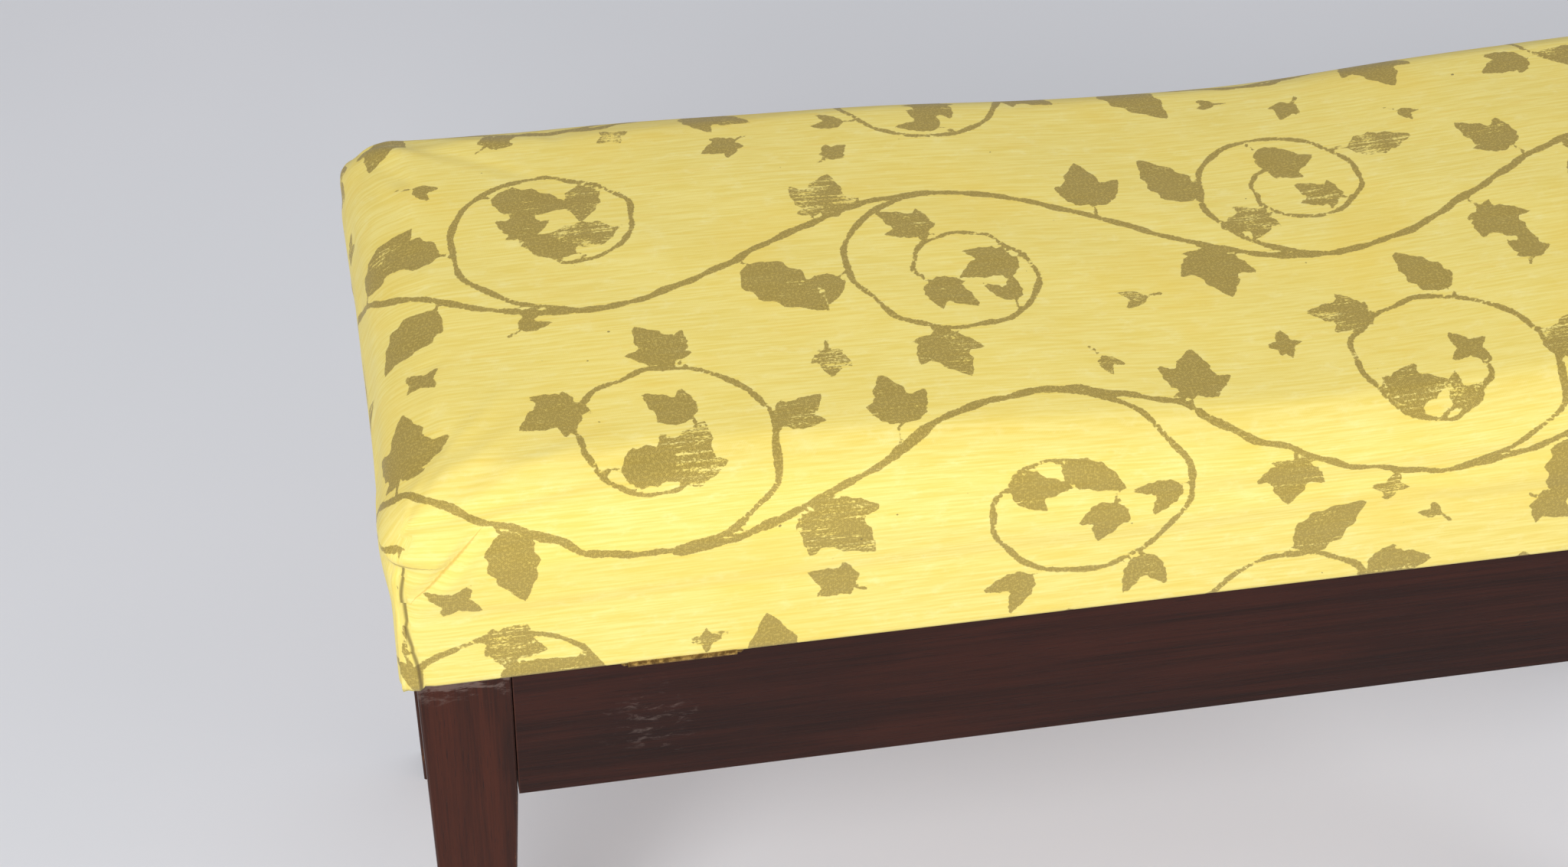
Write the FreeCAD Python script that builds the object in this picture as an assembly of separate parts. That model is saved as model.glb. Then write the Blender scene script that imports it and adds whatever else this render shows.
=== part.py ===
import FreeCAD, Part
import math
import os

# Piano stool: a tapered-leg case with a music compartment under a hinged, upholstered lid.
# Millimetres. Origin on the floor under the middle; +X along the stool, -Y is the hinge side, +Z up.

V = FreeCAD.Vector

# Case
FRAME_LENGTH = 860.0
FRAME_DEPTH = 350.0
FRAME_HEIGHT = 408.0
LEG_SIDE = 50.0
LEG_OUTER_TAPER = 6.5
LEG_INNER_TAPER = 15.5
LEG_ARRIS = 1.0
APRON_HEIGHT = 98.0
APRON_THICK = 22.0
APRON_SETBACK = 2.0
APRON_ARRIS = 1.2
SHOULDER_GAP = 0.7
TENON_THICK = 8.0
TENON_WEB = 5.0
TENON_TOP_SHOULDER = 14.0
TENON_LOW_SHOULDER = 12.0
JOINT_FIT = 0.1
LEDGER_WIDTH = 12.0
LEDGER_HEIGHT = 9.0
PANEL_THICK = 4.0
PANEL_CLEARANCE = 0.5
BRAD_SHANK = 0.8
BRAD_HEAD = 1.8
BRAD_LENGTH = 10.0
BRAD_LONG_COUNT = 5
BRAD_END_COUNT = 2
BRAD_LONG_MARGIN = 30.0
BRAD_END_MARGIN = 45.0
MORTISE_SPARE = 1.0
NAIL_SIDES = 6

# Lid frame and upholstery
LID_END_OVERHANG = 8.0
LID_SIDE_OVERHANG = 5.0
LID_GAP = 0.5
LID_RAIL_HEIGHT = 34.0
LID_RAIL_WIDTH = 45.0
LID_END_RAIL_WIDTH = 55.0
LID_TENON_THICK = 10.0
LID_TENON_LENGTH = 25.0
LID_TENON_SHOULDER = 9.0
COVER_THICK = 1.0
COVER_EASE = 0.5
COVER_RETURN = 38.0
COVER_CORNER = 9.0
BOTTOM_ROUND = 6.0
SIDE_HEIGHT = 88.0
SHOULDER_HEIGHT = 116.0
CROWN_HEIGHT = 122.0
EDGE_ROLL = 34.0
ROLL_END = 80.0
ROLL_STEPS = 4
EAR_BULGE = 5.0
DRAW_IN = 5.0
EAR_CORNER = 22.0
RIDGE_HALF = 12.0
HOLLOW_X = 70.0
HOLLOW_WIDTH = 170.0
HOLLOW_DEPTH = 14.5
WORN_DEPTH = 3.0
SIDE_STEPS = 10
END_STEPS = 4
CORNER_STEPS = 3
WEB_WIDTH = 50.0
WEB_THICK = 1.2
WEB_CROSS_COUNT = 7
WEB_LONG_COUNT = 3
WEB_LANDING = 30.0
HESSIAN_THICK = 0.8
HESSIAN_MARGIN = 12.0
LINING_THICK = 0.8
LINING_CLEARANCE = 0.5
TACK_HEAD = 3.2
TACK_SHANK = 0.8
TACK_LENGTH = 9.0
TACK_EDGE = 4.0
TACK_MARGIN = 12.0
TACK_LONG_COUNT = 11
TACK_END_COUNT = 3

# Butt hinges
HINGE_INSET = 142.0
HINGE_LENGTH = 59.0
HINGE_LEAF = 22.0
HINGE_LEAF_THICK = 1.6
HINGE_LEAF_GAP = 0.4
HINGE_PROUD = 2.0
BARREL_RADIUS = 3.2
PIN_RADIUS = 1.5
PIN_FIT = 0.05
KNUCKLE_GAP = 0.3
KNUCKLE_END = 16.0
TIP_RADIUS = 2.4
BARREL_RELIEF = 0.5
POCKET_FIT = 0.4
SCREW_RADIUS = 1.6
SCREW_HEAD = 3.1
SCREW_LENGTH = 15.0
SCREW_POINT = 2.0
SCREW_SIDES = 12
PIN_SIDES = 16
SCREW_SPACING = 21.0

# Lid stay: a curved slotted arm, pivoted on the lid, that runs on a stud in the left end apron
LID_OPEN_ANGLE = 95.0
STAY_RATIO = -1.25
STAY_PIVOT_REACH = 66.0
STAY_PIVOT_DROP = 9.0
STAY_STUD_REACH = 134.0
STAY_STUD_DROP = 14.0
STAY_STANDOFF = 2.5
STAY_THICK = 2.0
STAY_HALF_WIDTH = 6.5
STAY_PIN_RADIUS = 2.5
STAY_SLOT_PLAY = 0.25
STAY_SIDE_PLAY = 0.3
STAY_COLLAR_PLAY = 0.2
STAY_BRACKET_THICK = 1.6
STAY_BRACKET_WIDTH = 20.0
STAY_FLANGE = 17.0
RIVET_RIM = 1.5
RIVET_HEAD = 1.0
RIVET_PLAY = 0.1
STUD_RIM = 2.5
STUD_HEAD = 1.6
STUD_DEPTH = 14.0

# Cutting tools reach this far past the faces that they cut
CUT_PAST = 1.0
# Edges are picked by their place to within this
NEAR = 0.01
# Four points lie in one plane when the solid that they span is smaller than this
FLAT = 1e-6

RIM = FRAME_HEIGHT
APRON_LOW = RIM - APRON_HEIGHT
HALF_L = FRAME_LENGTH / 2
HALF_D = FRAME_DEPTH / 2
LID_Z = RIM + LID_GAP
LID_HALF_L = HALF_L + LID_END_OVERHANG
LID_HALF_D = HALF_D + LID_SIDE_OVERHANG
RAIL_Z = LID_Z + COVER_THICK
RAIL_TOP = RAIL_Z + LID_RAIL_HEIGHT
RAIL_X = LID_HALF_L - COVER_THICK - COVER_EASE
RAIL_Y = LID_HALF_D - COVER_THICK - COVER_EASE
APRON_INNER = APRON_SETBACK + APRON_THICK
TENON_NEAR = APRON_SETBACK + (APRON_THICK - TENON_THICK) / 2
TENON_FAR = TENON_NEAR + TENON_THICK
TENON_LENGTH = LEG_SIDE - TENON_FAR - TENON_WEB
LEDGER_TOP = APRON_LOW + LEDGER_HEIGHT
PANEL_TOP = LEDGER_TOP + PANEL_THICK
LEAF_Z = LID_Z - HINGE_LEAF_THICK
AXIS_Y = -HALF_D - HINGE_PROUD
AXIS_Z = LEAF_Z - HINGE_LEAF_GAP / 2
CASE_LEAF_Z = AXIS_Z - HINGE_LEAF_GAP / 2 - HINGE_LEAF_THICK


def box(x0, x1, y0, y1, z0, z1):
    return Part.makeBox(x1 - x0, y1 - y0, z1 - z0, V(x0, y0, z0))


def rod(radius, start, end):
    along = end - start
    return Part.makeCylinder(radius, along.Length, start, along)


def flat_face(points):
    return Part.Face(Part.makePolygon(points + points[:1]))


def prism(points, along):
    return flat_face(points).extrude(along)


def skin(a, b, c, d):
    # one flat face through four points, or two triangles where they don't lie in one plane
    if abs((b - a).cross(d - a).dot(c - a)) < FLAT:
        return [flat_face([a, b, c, d])]
    return [flat_face([a, b, c]), flat_face([a, c, d])]


def faceted(rings, top=None):
    # closed solid with flat faces between rings of equally many points; top is a list of closing faces
    faces = [flat_face(rings[0])] + (top or [flat_face(rings[-1])])
    for low, high in zip(rings, rings[1:]):
        for i in range(len(low)):
            j = (i + 1) % len(low)
            faces += skin(low[i], low[j], high[j], high[i])
    solid = Part.Solid(Part.Shell(faces))
    if solid.Volume < 0:
        solid.reverse()
    return solid


def turned(levels, sides, base, axis):
    # many-sided small piece about an axis: a ring for each (radius, distance along the axis)
    side = V(0, 1, 0) if abs(axis.x) > abs(axis.z) else V(1, 0, 0)
    other = axis.cross(side)
    angles = [2 * math.pi * (i + 0.5) / sides for i in range(sides)]
    rings = []
    for r, h in levels:
        rings.append([base + axis * h + (side * math.cos(a) + other * math.sin(a)) * r for a in angles])
    return faceted(rings)


def flip_x(shape):
    return shape.mirror(V(0, 0, 0), V(1, 0, 0))


def flip_y(shape):
    return shape.mirror(V(0, 0, 0), V(0, 1, 0))


def soften(shape, radius, wanted):
    edges = [e for e in shape.Edges if wanted(e)]
    return shape.makeFillet(radius, edges)


def save(name, shapes):
    whole = shapes[0] if len(shapes) == 1 else Part.makeCompound(shapes)
    whole.exportStep("parts/" + name + ".step")


def steep(edge):
    a = edge.Vertexes[0].Point
    b = edge.Vertexes[-1].Point
    return abs(a.z - b.z) > 0.9 * edge.Length


# Legs

def leg_section(outer, inner, z):
    # square with its arrises taken off; outer and inner are distances in from the outer corner at the rim
    c = LEG_ARRIS
    near, far = outer + c, inner - c
    ring = [(near, outer), (far, outer), (inner, near), (inner, far)]
    ring += [(far, inner), (near, inner), (outer, far), (outer, near)]
    return [V(u - HALF_L, v - HALF_D, z) for u, v in ring]


def tenon_box(u0, u1, v0, v1, room):
    low = APRON_LOW + TENON_LOW_SHOULDER - room
    high = RIM - TENON_TOP_SHOULDER + room
    return box(u0, u1, v0, v1, low, high)


def leg():
    # rear left leg; the inside faces run square down to the aprons' lower edge, then taper
    lean = LEG_OUTER_TAPER * APRON_HEIGHT / FRAME_HEIGHT
    foot = leg_section(LEG_OUTER_TAPER, LEG_SIDE - LEG_INNER_TAPER, 0.0)
    waist = leg_section(lean, LEG_SIDE, APRON_LOW)
    head = leg_section(0.0, LEG_SIDE, RIM)
    post = faceted([foot, waist, head])
    near = TENON_NEAR - JOINT_FIT
    far = TENON_FAR + JOINT_FIT
    deep = LEG_SIDE - TENON_LENGTH - MORTISE_SPARE
    open_end = LEG_SIDE + CUT_PAST
    long_mortise = tenon_box(deep - HALF_L, open_end - HALF_L, near - HALF_D, far - HALF_D, JOINT_FIT)
    end_mortise = tenon_box(near - HALF_L, far - HALF_L, deep - HALF_D, open_end - HALF_D, JOINT_FIT)
    return post.cut([long_mortise, end_mortise])


# Aprons

def low_edge(edge):
    return edge.BoundBox.ZMax < APRON_LOW + NEAR and edge.Length > 3 * APRON_THICK


def long_apron():
    end = HALF_L - LEG_SIDE - SHOULDER_GAP
    y0 = APRON_SETBACK - HALF_D
    board = soften(box(-end, end, y0, y0 + APRON_THICK, APRON_LOW, RIM), APRON_ARRIS, low_edge)
    reach = HALF_L - LEG_SIDE + TENON_LENGTH
    tongue = tenon_box(-reach, reach, TENON_NEAR - HALF_D, TENON_FAR - HALF_D, 0.0)
    return board.fuse(tongue).removeSplitter()


def end_apron():
    end = HALF_D - LEG_SIDE - SHOULDER_GAP
    x0 = APRON_SETBACK - HALF_L
    board = soften(box(x0, x0 + APRON_THICK, -end, end, APRON_LOW, RIM), APRON_ARRIS, low_edge)
    reach = HALF_D - LEG_SIDE + TENON_LENGTH
    tongue = tenon_box(TENON_NEAR - HALF_L, TENON_FAR - HALF_L, -reach, reach, 0.0)
    return board.fuse(tongue).removeSplitter()


# Bottom of the music compartment

def spread(half_span, count):
    return [half_span * (2.0 * i / (count - 1) - 1.0) for i in range(count)]


def brad_points():
    long_line = HALF_D - APRON_INNER - LEDGER_WIDTH / 2
    end_line = HALF_L - APRON_INNER - LEDGER_WIDTH / 2
    points = []
    for x in spread(HALF_L - LEG_SIDE - BRAD_LONG_MARGIN, BRAD_LONG_COUNT):
        points += [(x, -long_line), (x, long_line)]
    for y in spread(HALF_D - LEG_SIDE - BRAD_END_MARGIN, BRAD_END_COUNT):
        points += [(-end_line, y), (end_line, y)]
    return points


def square_nail(x, y, z, up, head, head_thick, shank, length, room):
    # cut nail: a square shank and a low six-sided head that stands off the face at z
    h = shank + room
    foot = [V(x - h, y - h, z), V(x + h, y - h, z), V(x + h, y + h, z), V(x - h, y + h, z)]
    cap = turned([(0.55 * head, -head_thick), (head, 0.0)], NAIL_SIDES, V(x, y, z), V(0, 0, up))
    return prism(foot, V(0, 0, up * length)).fuse(cap).removeSplitter()


def brad(x, y, room):
    return square_nail(x, y, PANEL_TOP, -1, BRAD_HEAD, 0.5 * BRAD_HEAD, BRAD_SHANK, BRAD_LENGTH, room)


def bottom_panel():
    x = HALF_L - APRON_INNER - PANEL_CLEARANCE
    y = HALF_D - APRON_INNER - PANEL_CLEARANCE
    sheet = box(-x, x, -y, y, LEDGER_TOP, PANEL_TOP)
    notch_x = HALF_L - LEG_SIDE - PANEL_CLEARANCE
    notch_y = HALF_D - LEG_SIDE - PANEL_CLEARANCE
    corner = box(notch_x, x + CUT_PAST, notch_y, y + CUT_PAST, LEDGER_TOP - CUT_PAST, PANEL_TOP + CUT_PAST)
    return sheet.cut([corner, flip_x(corner), flip_y(corner), flip_x(flip_y(corner))])


def long_ledger():
    end = HALF_L - LEG_SIDE - PANEL_CLEARANCE
    y0 = APRON_INNER - HALF_D
    return box(-end, end, y0, y0 + LEDGER_WIDTH, APRON_LOW, LEDGER_TOP)


def end_ledger():
    end = HALF_D - LEG_SIDE - PANEL_CLEARANCE
    x0 = APRON_INNER - HALF_L
    return box(x0, x0 + LEDGER_WIDTH, -end, end, APRON_LOW, LEDGER_TOP)


# Upholstered form: rings from the underside over the rolled edge to the crown, with drawn-in sides and a
# top that long use has hollowed

def outline(half_x, half_y, corner, sag):
    # round the lid from the rear right corner; each side is drawn in by sag at its middle
    arcs = []
    for i, (sx, sy) in enumerate([(1, -1), (1, 1), (-1, 1), (-1, -1)]):
        centre = V(sx * (half_x - corner), sy * (half_y - corner), 0)
        turns = [math.radians(90 * i - 90 + 90 * step / CORNER_STEPS) for step in range(CORNER_STEPS + 1)]
        arcs.append([centre + V(math.cos(a), math.sin(a), 0) * corner for a in turns])
    points = []
    for i, arc in enumerate(arcs):
        points += arc
        way = arcs[(i + 1) % 4][0] - arc[-1]
        inward = V(-way.y, way.x, 0).normalize()
        steps = SIDE_STEPS if i % 2 else END_STEPS
        for k in range(1, steps):
            t = k / steps
            points.append(arc[-1] + way * t + inward * (4 * sag * t * (1 - t)))
    return points


def hollowed(point, height):
    # a seat point at this height over the lid's underside, let down where the stuffing has sunk
    board = COVER_THICK + LID_RAIL_HEIGHT
    part = min(1.0, max(0.0, (height - board) / (SHOULDER_HEIGHT - board)))
    sunk = HOLLOW_DEPTH * math.exp(-(((point.x - HOLLOW_X) / HOLLOW_WIDTH) ** 2))
    sunk += WORN_DEPTH * (1 - (point.x / (LID_HALF_L + EAR_BULGE)) ** 4)
    return V(point.x, point.y, point.z - sunk * part * part * (3 - 2 * part))


def ridge(ring):
    # closes the crown with strips across it, from the middle point of one end to that of the other
    first = CORNER_STEPS + END_STEPS // 2
    loop = ring[first:] + ring[:first]
    half = len(loop) // 2
    end = END_STEPS // 2 + 1
    strips = [flat_face(loop[-end:] + loop[:end + 1]), flat_face(loop[half - end:half + end + 1])]
    for i in range(end, half - end):
        strips += skin(loop[i], loop[i + 1], loop[-i - 1], loop[-i])
    return strips


def cushion_levels():
    # (inset from the lid's edge, height over the underside, tilt of the surface, sag of the sides, corner)
    board = COVER_THICK + LID_RAIL_HEIGHT
    levels = []
    for turn in (-90, -45, 0):
        t = math.radians(turn)
        inset = BOTTOM_ROUND * (1 - math.cos(t))
        levels.append((inset, BOTTOM_ROUND * (1 + math.sin(t)), turn, 0.0, COVER_CORNER - inset))
    levels.append((0.0, board, 0, 0.0, COVER_CORNER))
    between = (board + SIDE_HEIGHT) / 2
    levels.append((-0.6 * EAR_BULGE, between, 0, 0.6 * DRAW_IN, (COVER_CORNER + EAR_CORNER) / 2))
    reach = EDGE_ROLL + EAR_BULGE
    rise = SHOULDER_HEIGHT - SIDE_HEIGHT
    for i in range(ROLL_STEPS + 1):
        turn = ROLL_END * i / ROLL_STEPS
        t = math.radians(turn)
        inset = reach * (1 - math.cos(t)) - EAR_BULGE
        corner = EAR_CORNER + max(0.0, 0.6 * inset)
        sag = DRAW_IN * (1 - i / ROLL_STEPS)
        levels.append((inset, SIDE_HEIGHT + rise * math.sin(t), turn, sag, corner))
    start, low, turn, sag, bend = levels[-1]
    last = LID_HALF_D - RIDGE_HALF
    for part in (0.33, 0.66, 1.0):
        inset = start + (last - start) * part
        height = low + (CROWN_HEIGHT - low) * (1 - (1 - part) ** 2)
        levels.append((inset, height, 90, 0.0, bend + (0.8 * RIDGE_HALF - bend) * part))
    return levels


def cushion(thinner):
    # rings of flat facets; thinner moves the skin inwards
    rings = []
    for inset, height, turn, sag, corner in cushion_levels():
        t = math.radians(turn)
        inset += thinner * math.cos(t)
        up = V(0, 0, LID_Z + height - thinner * math.sin(t))
        points = outline(LID_HALF_L - inset, LID_HALF_D - inset, corner, sag)
        rings.append([hollowed(p + up, height) for p in points])
    return faceted(rings, ridge(rings[-1]))


def seat_cover(cuts):
    x = LID_HALF_L - COVER_RETURN
    y = LID_HALF_D - COVER_RETURN
    mouth = box(-x, x, -y, y, LID_Z - CUT_PAST, LID_Z + 2 * COVER_THICK)
    return cushion(0.0).cut(cushion(COVER_THICK)).cut([mouth] + cuts)


def seat_pad():
    floor = RAIL_TOP + 2 * WEB_THICK + HESSIAN_THICK
    reach = LID_HALF_L + LID_HALF_D
    return cushion(COVER_THICK + COVER_EASE).common(box(-reach, reach, -reach, reach, floor, floor + reach))


# Lid frame

def lid_tenon(room):
    # tenon on the end rail's rear end, entering the rear rail
    x0 = LID_TENON_SHOULDER - RAIL_X - room
    x1 = LID_END_RAIL_WIDTH - LID_TENON_SHOULDER - RAIL_X + room
    y0 = LID_RAIL_WIDTH - RAIL_Y - LID_TENON_LENGTH - 5 * room
    y1 = LID_RAIL_WIDTH - RAIL_Y + CUT_PAST
    mid = RAIL_Z + LID_RAIL_HEIGHT / 2
    half = LID_TENON_THICK / 2 + room
    return box(x0, x1, y0, y1, mid - half, mid + half)


def lid_long_rail():
    rail = box(-RAIL_X, RAIL_X, -RAIL_Y, LID_RAIL_WIDTH - RAIL_Y, RAIL_Z, RAIL_TOP)

    def outer_corner(edge):
        return steep(edge) and edge.BoundBox.YMax < NEAR - RAIL_Y

    def outer_low(edge):
        box_of = edge.BoundBox
        inner_side = box_of.YMin > LID_RAIL_WIDTH - RAIL_Y - NEAR
        return box_of.ZMax < RAIL_Z + NEAR and not inner_side

    rail = soften(rail, COVER_CORNER, outer_corner)
    rail = soften(rail, BOTTOM_ROUND, outer_low)
    mortise = lid_tenon(JOINT_FIT)
    return rail.cut([mortise, flip_x(mortise)])


def lid_end_rail():
    end = RAIL_Y - LID_RAIL_WIDTH
    rail = box(-RAIL_X, LID_END_RAIL_WIDTH - RAIL_X, -end, end, RAIL_Z, RAIL_TOP)

    def outer_low(edge):
        return edge.BoundBox.ZMax < RAIL_Z + NEAR and edge.BoundBox.XMax < NEAR - RAIL_X

    rail = soften(rail, BOTTOM_ROUND, outer_low)
    tenon = lid_tenon(0.0)
    return rail.fuse([tenon, flip_y(tenon)]).removeSplitter()


def cross_webbing():
    half = RAIL_Y - LID_RAIL_WIDTH + WEB_LANDING
    span = RAIL_X - LID_END_RAIL_WIDTH - WEB_WIDTH
    w = WEB_WIDTH / 2
    z = RAIL_TOP
    return [box(x - w, x + w, -half, half, z, z + WEB_THICK) for x in spread(span, WEB_CROSS_COUNT)]


def long_webbing():
    half = RAIL_X - LID_END_RAIL_WIDTH + WEB_LANDING
    span = RAIL_Y - LID_RAIL_WIDTH - WEB_WIDTH
    w = WEB_WIDTH / 2
    z = RAIL_TOP + WEB_THICK
    return [box(-half, half, y - w, y + w, z, z + WEB_THICK) for y in spread(span, WEB_LONG_COUNT)]


def hessian():
    x = RAIL_X - HESSIAN_MARGIN
    y = RAIL_Y - HESSIAN_MARGIN
    z = RAIL_TOP + 2 * WEB_THICK
    return box(-x, x, -y, y, z, z + HESSIAN_THICK)


def lining():
    x = LID_HALF_L - COVER_RETURN - LINING_CLEARANCE
    y = LID_HALF_D - COVER_RETURN - LINING_CLEARANCE
    return box(-x, x, -y, y, RAIL_Z - LINING_THICK, RAIL_Z)


def tack_points():
    x_line = LID_HALF_L - COVER_RETURN - LINING_CLEARANCE - TACK_EDGE
    y_line = LID_HALF_D - COVER_RETURN - LINING_CLEARANCE - TACK_EDGE
    points = []
    for x in spread(HALF_L - LEG_SIDE - TACK_MARGIN, TACK_LONG_COUNT):
        points += [(x, -y_line), (x, y_line)]
    for y in spread(0.5 * (HALF_D - LEG_SIDE), TACK_END_COUNT):
        points += [(-x_line, y), (x_line, y)]
    return points


def tack(x, y, room):
    base = RAIL_Z - LINING_THICK
    return square_nail(x, y, base, 1, TACK_HEAD, 0.25 * TACK_HEAD, TACK_SHANK, TACK_LENGTH, room)


# Butt hinges, drawn for the left one

def hinge_centre():
    return HINGE_INSET - HALF_L


def barrel_tool(room):
    x = hinge_centre()
    half = HINGE_LENGTH / 2 + 2 * TIP_RADIUS + room
    return rod(BARREL_RADIUS + room, V(x - half, AXIS_Y, AXIS_Z), V(x + half, AXIS_Y, AXIS_Z))


def hinge_screw_points():
    y = AXIS_Y + BARREL_RADIUS + 0.55 * (HINGE_LEAF - BARREL_RADIUS)
    return [(hinge_centre() + dx, y) for dx in (-SCREW_SPACING, 0.0, SCREW_SPACING)]


def wood_screw(x, y, z, up, room):
    # flat head flush with z, the point up or down
    head = SCREW_HEAD + room
    core = SCREW_RADIUS + room
    sink = HINGE_LEAF_THICK * 0.9
    neck = SCREW_LENGTH - SCREW_POINT
    levels = [(head, 0.0), (core, sink), (core, neck), (0.2 * core, SCREW_LENGTH + room)]
    return turned(levels, SCREW_SIDES, V(x, y, z), V(0, 0, up))


def hinge_leaf(z0, outer, screws):
    # the case leaf has the two outer knuckles, the lid leaf the long one between them
    x0 = hinge_centre() - HINGE_LENGTH / 2
    x1 = x0 + HINGE_LENGTH
    inner = (x0 + KNUCKLE_END, x1 - KNUCKLE_END)
    side = KNUCKLE_GAP / 2
    reach = BARREL_RADIUS + BARREL_RELIEF
    leaf = box(x0, x1, AXIS_Y, AXIS_Y + HINGE_LEAF, z0, z0 + HINGE_LEAF_THICK)
    if outer:
        own = [(x0, inner[0] - side), (inner[1] + side, x1)]
        others = [(inner[0] - side, inner[1] + side)]
    else:
        own = [(inner[0] + side, inner[1] - side)]
        others = [(x0 - CUT_PAST, inner[0] + side), (inner[1] - side, x1 + CUT_PAST)]
    knuckles = [rod(BARREL_RADIUS, V(a, AXIS_Y, AXIS_Z), V(b, AXIS_Y, AXIS_Z)) for a, b in own]
    gaps = [box(a, b, AXIS_Y - reach, AXIS_Y + reach, AXIS_Z - reach, AXIS_Z + reach) for a, b in others]
    bore = rod(PIN_RADIUS + PIN_FIT, V(x0 - CUT_PAST, AXIS_Y, AXIS_Z), V(x1 + CUT_PAST, AXIS_Y, AXIS_Z))
    return leaf.fuse(knuckles).removeSplitter().cut(gaps + [bore] + screws)


def hinge_pin():
    # a pin with a ball tip at each end, turned about the hinge axis
    face = HINGE_LENGTH / 2 + KNUCKLE_GAP / 3
    foot = math.asin(0.6)
    tip = [(PIN_RADIUS, face)]
    for a in (-foot, 0.1 * math.pi, 0.3 * math.pi, 0.45 * math.pi):
        tip.append((TIP_RADIUS * math.cos(a), face + TIP_RADIUS * (math.sin(foot) + math.sin(a))))
    other = [(r, -h) for r, h in reversed(tip)]
    return turned(other + tip, PIN_SIDES, V(hinge_centre(), AXIS_Y, AXIS_Z), V(1, 0, 0))


def hinge_pocket():
    x = hinge_centre()
    half = HINGE_LENGTH / 2 + POCKET_FIT
    back = AXIS_Y + HINGE_LEAF + POCKET_FIT
    return box(x - half, x + half, AXIS_Y - CUT_PAST, back, CASE_LEAF_Z, RIM + CUT_PAST)


# Lid stay; points in its plane are (y, z) from the hinge axis

def turn_point(point, degrees):
    t = math.radians(degrees)
    c, s = math.cos(t), math.sin(t)
    return (c * point[0] - s * point[1], s * point[0] + c * point[1])


STAY_PIVOT = (STAY_PIVOT_REACH, LID_Z - STAY_PIVOT_DROP - AXIS_Z)
STAY_STUD = (STAY_STUD_REACH, RIM - STAY_STUD_DROP - AXIS_Z)
STAY_X = APRON_INNER - HALF_L + STAY_STANDOFF
TAB_X = STAY_X + STAY_THICK + STAY_SIDE_PLAY


def stay_track(angle):
    # where the stud lies in the arm, measured from the arm's pivot, with the lid open by angle
    pivot = turn_point(STAY_PIVOT, angle)
    away = (STAY_STUD[0] - pivot[0], STAY_STUD[1] - pivot[1])
    return turn_point(away, -(1 + STAY_RATIO) * angle)


def stay_point(local, x):
    return V(x, AXIS_Y + STAY_PIVOT[0] + local[0], AXIS_Z + STAY_PIVOT[1] + local[1])


def stay_band(half_width, x0, x1):
    # a band of this half width along the track: arcs through three points each, and round ends
    count = 6
    left = []
    right = []
    tips = []
    for i in range(count + 1):
        angle = LID_OPEN_ANGLE * i / count
        y, z = stay_track(angle)
        ahead = stay_track(angle + NEAR)
        size = math.hypot(ahead[0] - y, ahead[1] - z)
        dy = half_width * (ahead[0] - y) / size
        dz = half_width * (ahead[1] - z) / size
        left.append(stay_point((y - dz, z + dy), x0))
        right.append(stay_point((y + dz, z - dy), x0))
        tips += [stay_point((y - dy, z - dz), x0), stay_point((y + dy, z + dz), x0)]
    edges = [Part.Arc(right[0], tips[0], left[0]), Part.Arc(left[-1], tips[-1], right[-1])]
    for side in (left, right):
        for i in range(0, count, 2):
            edges.append(Part.Arc(side[i], side[i + 1], side[i + 2]))
    wire = Part.Wire(Part.__sortEdges__([e.toShape() for e in edges]))
    return Part.Face(wire).extrude(V(x1 - x0, 0, 0))


def stay_arm():
    x0 = STAY_X
    x1 = STAY_X + STAY_THICK
    start = stay_track(0.0)
    size = math.hypot(start[0], start[1])
    side = (-start[1] / size * STAY_HALF_WIDTH, start[0] / size * STAY_HALF_WIDTH)
    corners = [
        side,
        (start[0] + side[0], start[1] + side[1]),
        (start[0] - side[0], start[1] - side[1]),
        (-side[0], -side[1]),
    ]
    neck = prism([stay_point(c, x0) for c in corners], V(STAY_THICK, 0, 0))
    eye = rod(STAY_HALF_WIDTH, stay_point((0, 0), x0), stay_point((0, 0), x1))
    before = x0 - CUT_PAST
    after = x1 + CUT_PAST
    bore = rod(STAY_PIN_RADIUS + PIN_FIT, stay_point((0, 0), before), stay_point((0, 0), after))
    slot = stay_band(STAY_PIN_RADIUS + STAY_SLOT_PLAY, before, after)
    return stay_band(STAY_HALF_WIDTH, x0, x1).fuse([neck, eye]).removeSplitter().cut([slot, bore])


def stay_rivet():
    low = -RIVET_PLAY
    high = TAB_X + STAY_BRACKET_THICK - STAY_X
    r = STAY_PIN_RADIUS
    wide = r + RIVET_RIM
    levels = [(wide, low - RIVET_HEAD), (wide, low), (r, low)]
    levels += [(r, high), (wide, high), (wide, high + RIVET_HEAD)]
    return turned(levels, PIN_SIDES, stay_point((0, 0), STAY_X), V(1, 0, 0))


def stay_stud(room):
    # a shank in the wood, a collar against the apron, the pin that the slot runs on, and its head
    base = V(APRON_INNER - HALF_L, AXIS_Y + STAY_STUD[0], AXIS_Z + STAY_STUD[1])
    collar = STAY_STANDOFF - STAY_COLLAR_PLAY
    outer = STAY_STANDOFF + STAY_THICK + STAY_SIDE_PLAY
    r = STAY_PIN_RADIUS
    core = 0.8 * r + room
    wide = r + STUD_RIM
    levels = [(core, -STUD_DEPTH - room), (core, 0), (wide, 0), (wide, collar), (r, collar), (r, outer)]
    levels += [(wide, outer), (wide, outer + STUD_HEAD)]
    return turned(levels, PIN_SIDES, base, V(1, 0, 0))


def stay_screw_points():
    y = AXIS_Y + STAY_PIVOT[0]
    x = TAB_X + 0.62 * STAY_FLANGE
    return [(x, y - 0.27 * STAY_BRACKET_WIDTH), (x, y + 0.27 * STAY_BRACKET_WIDTH)]


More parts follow.
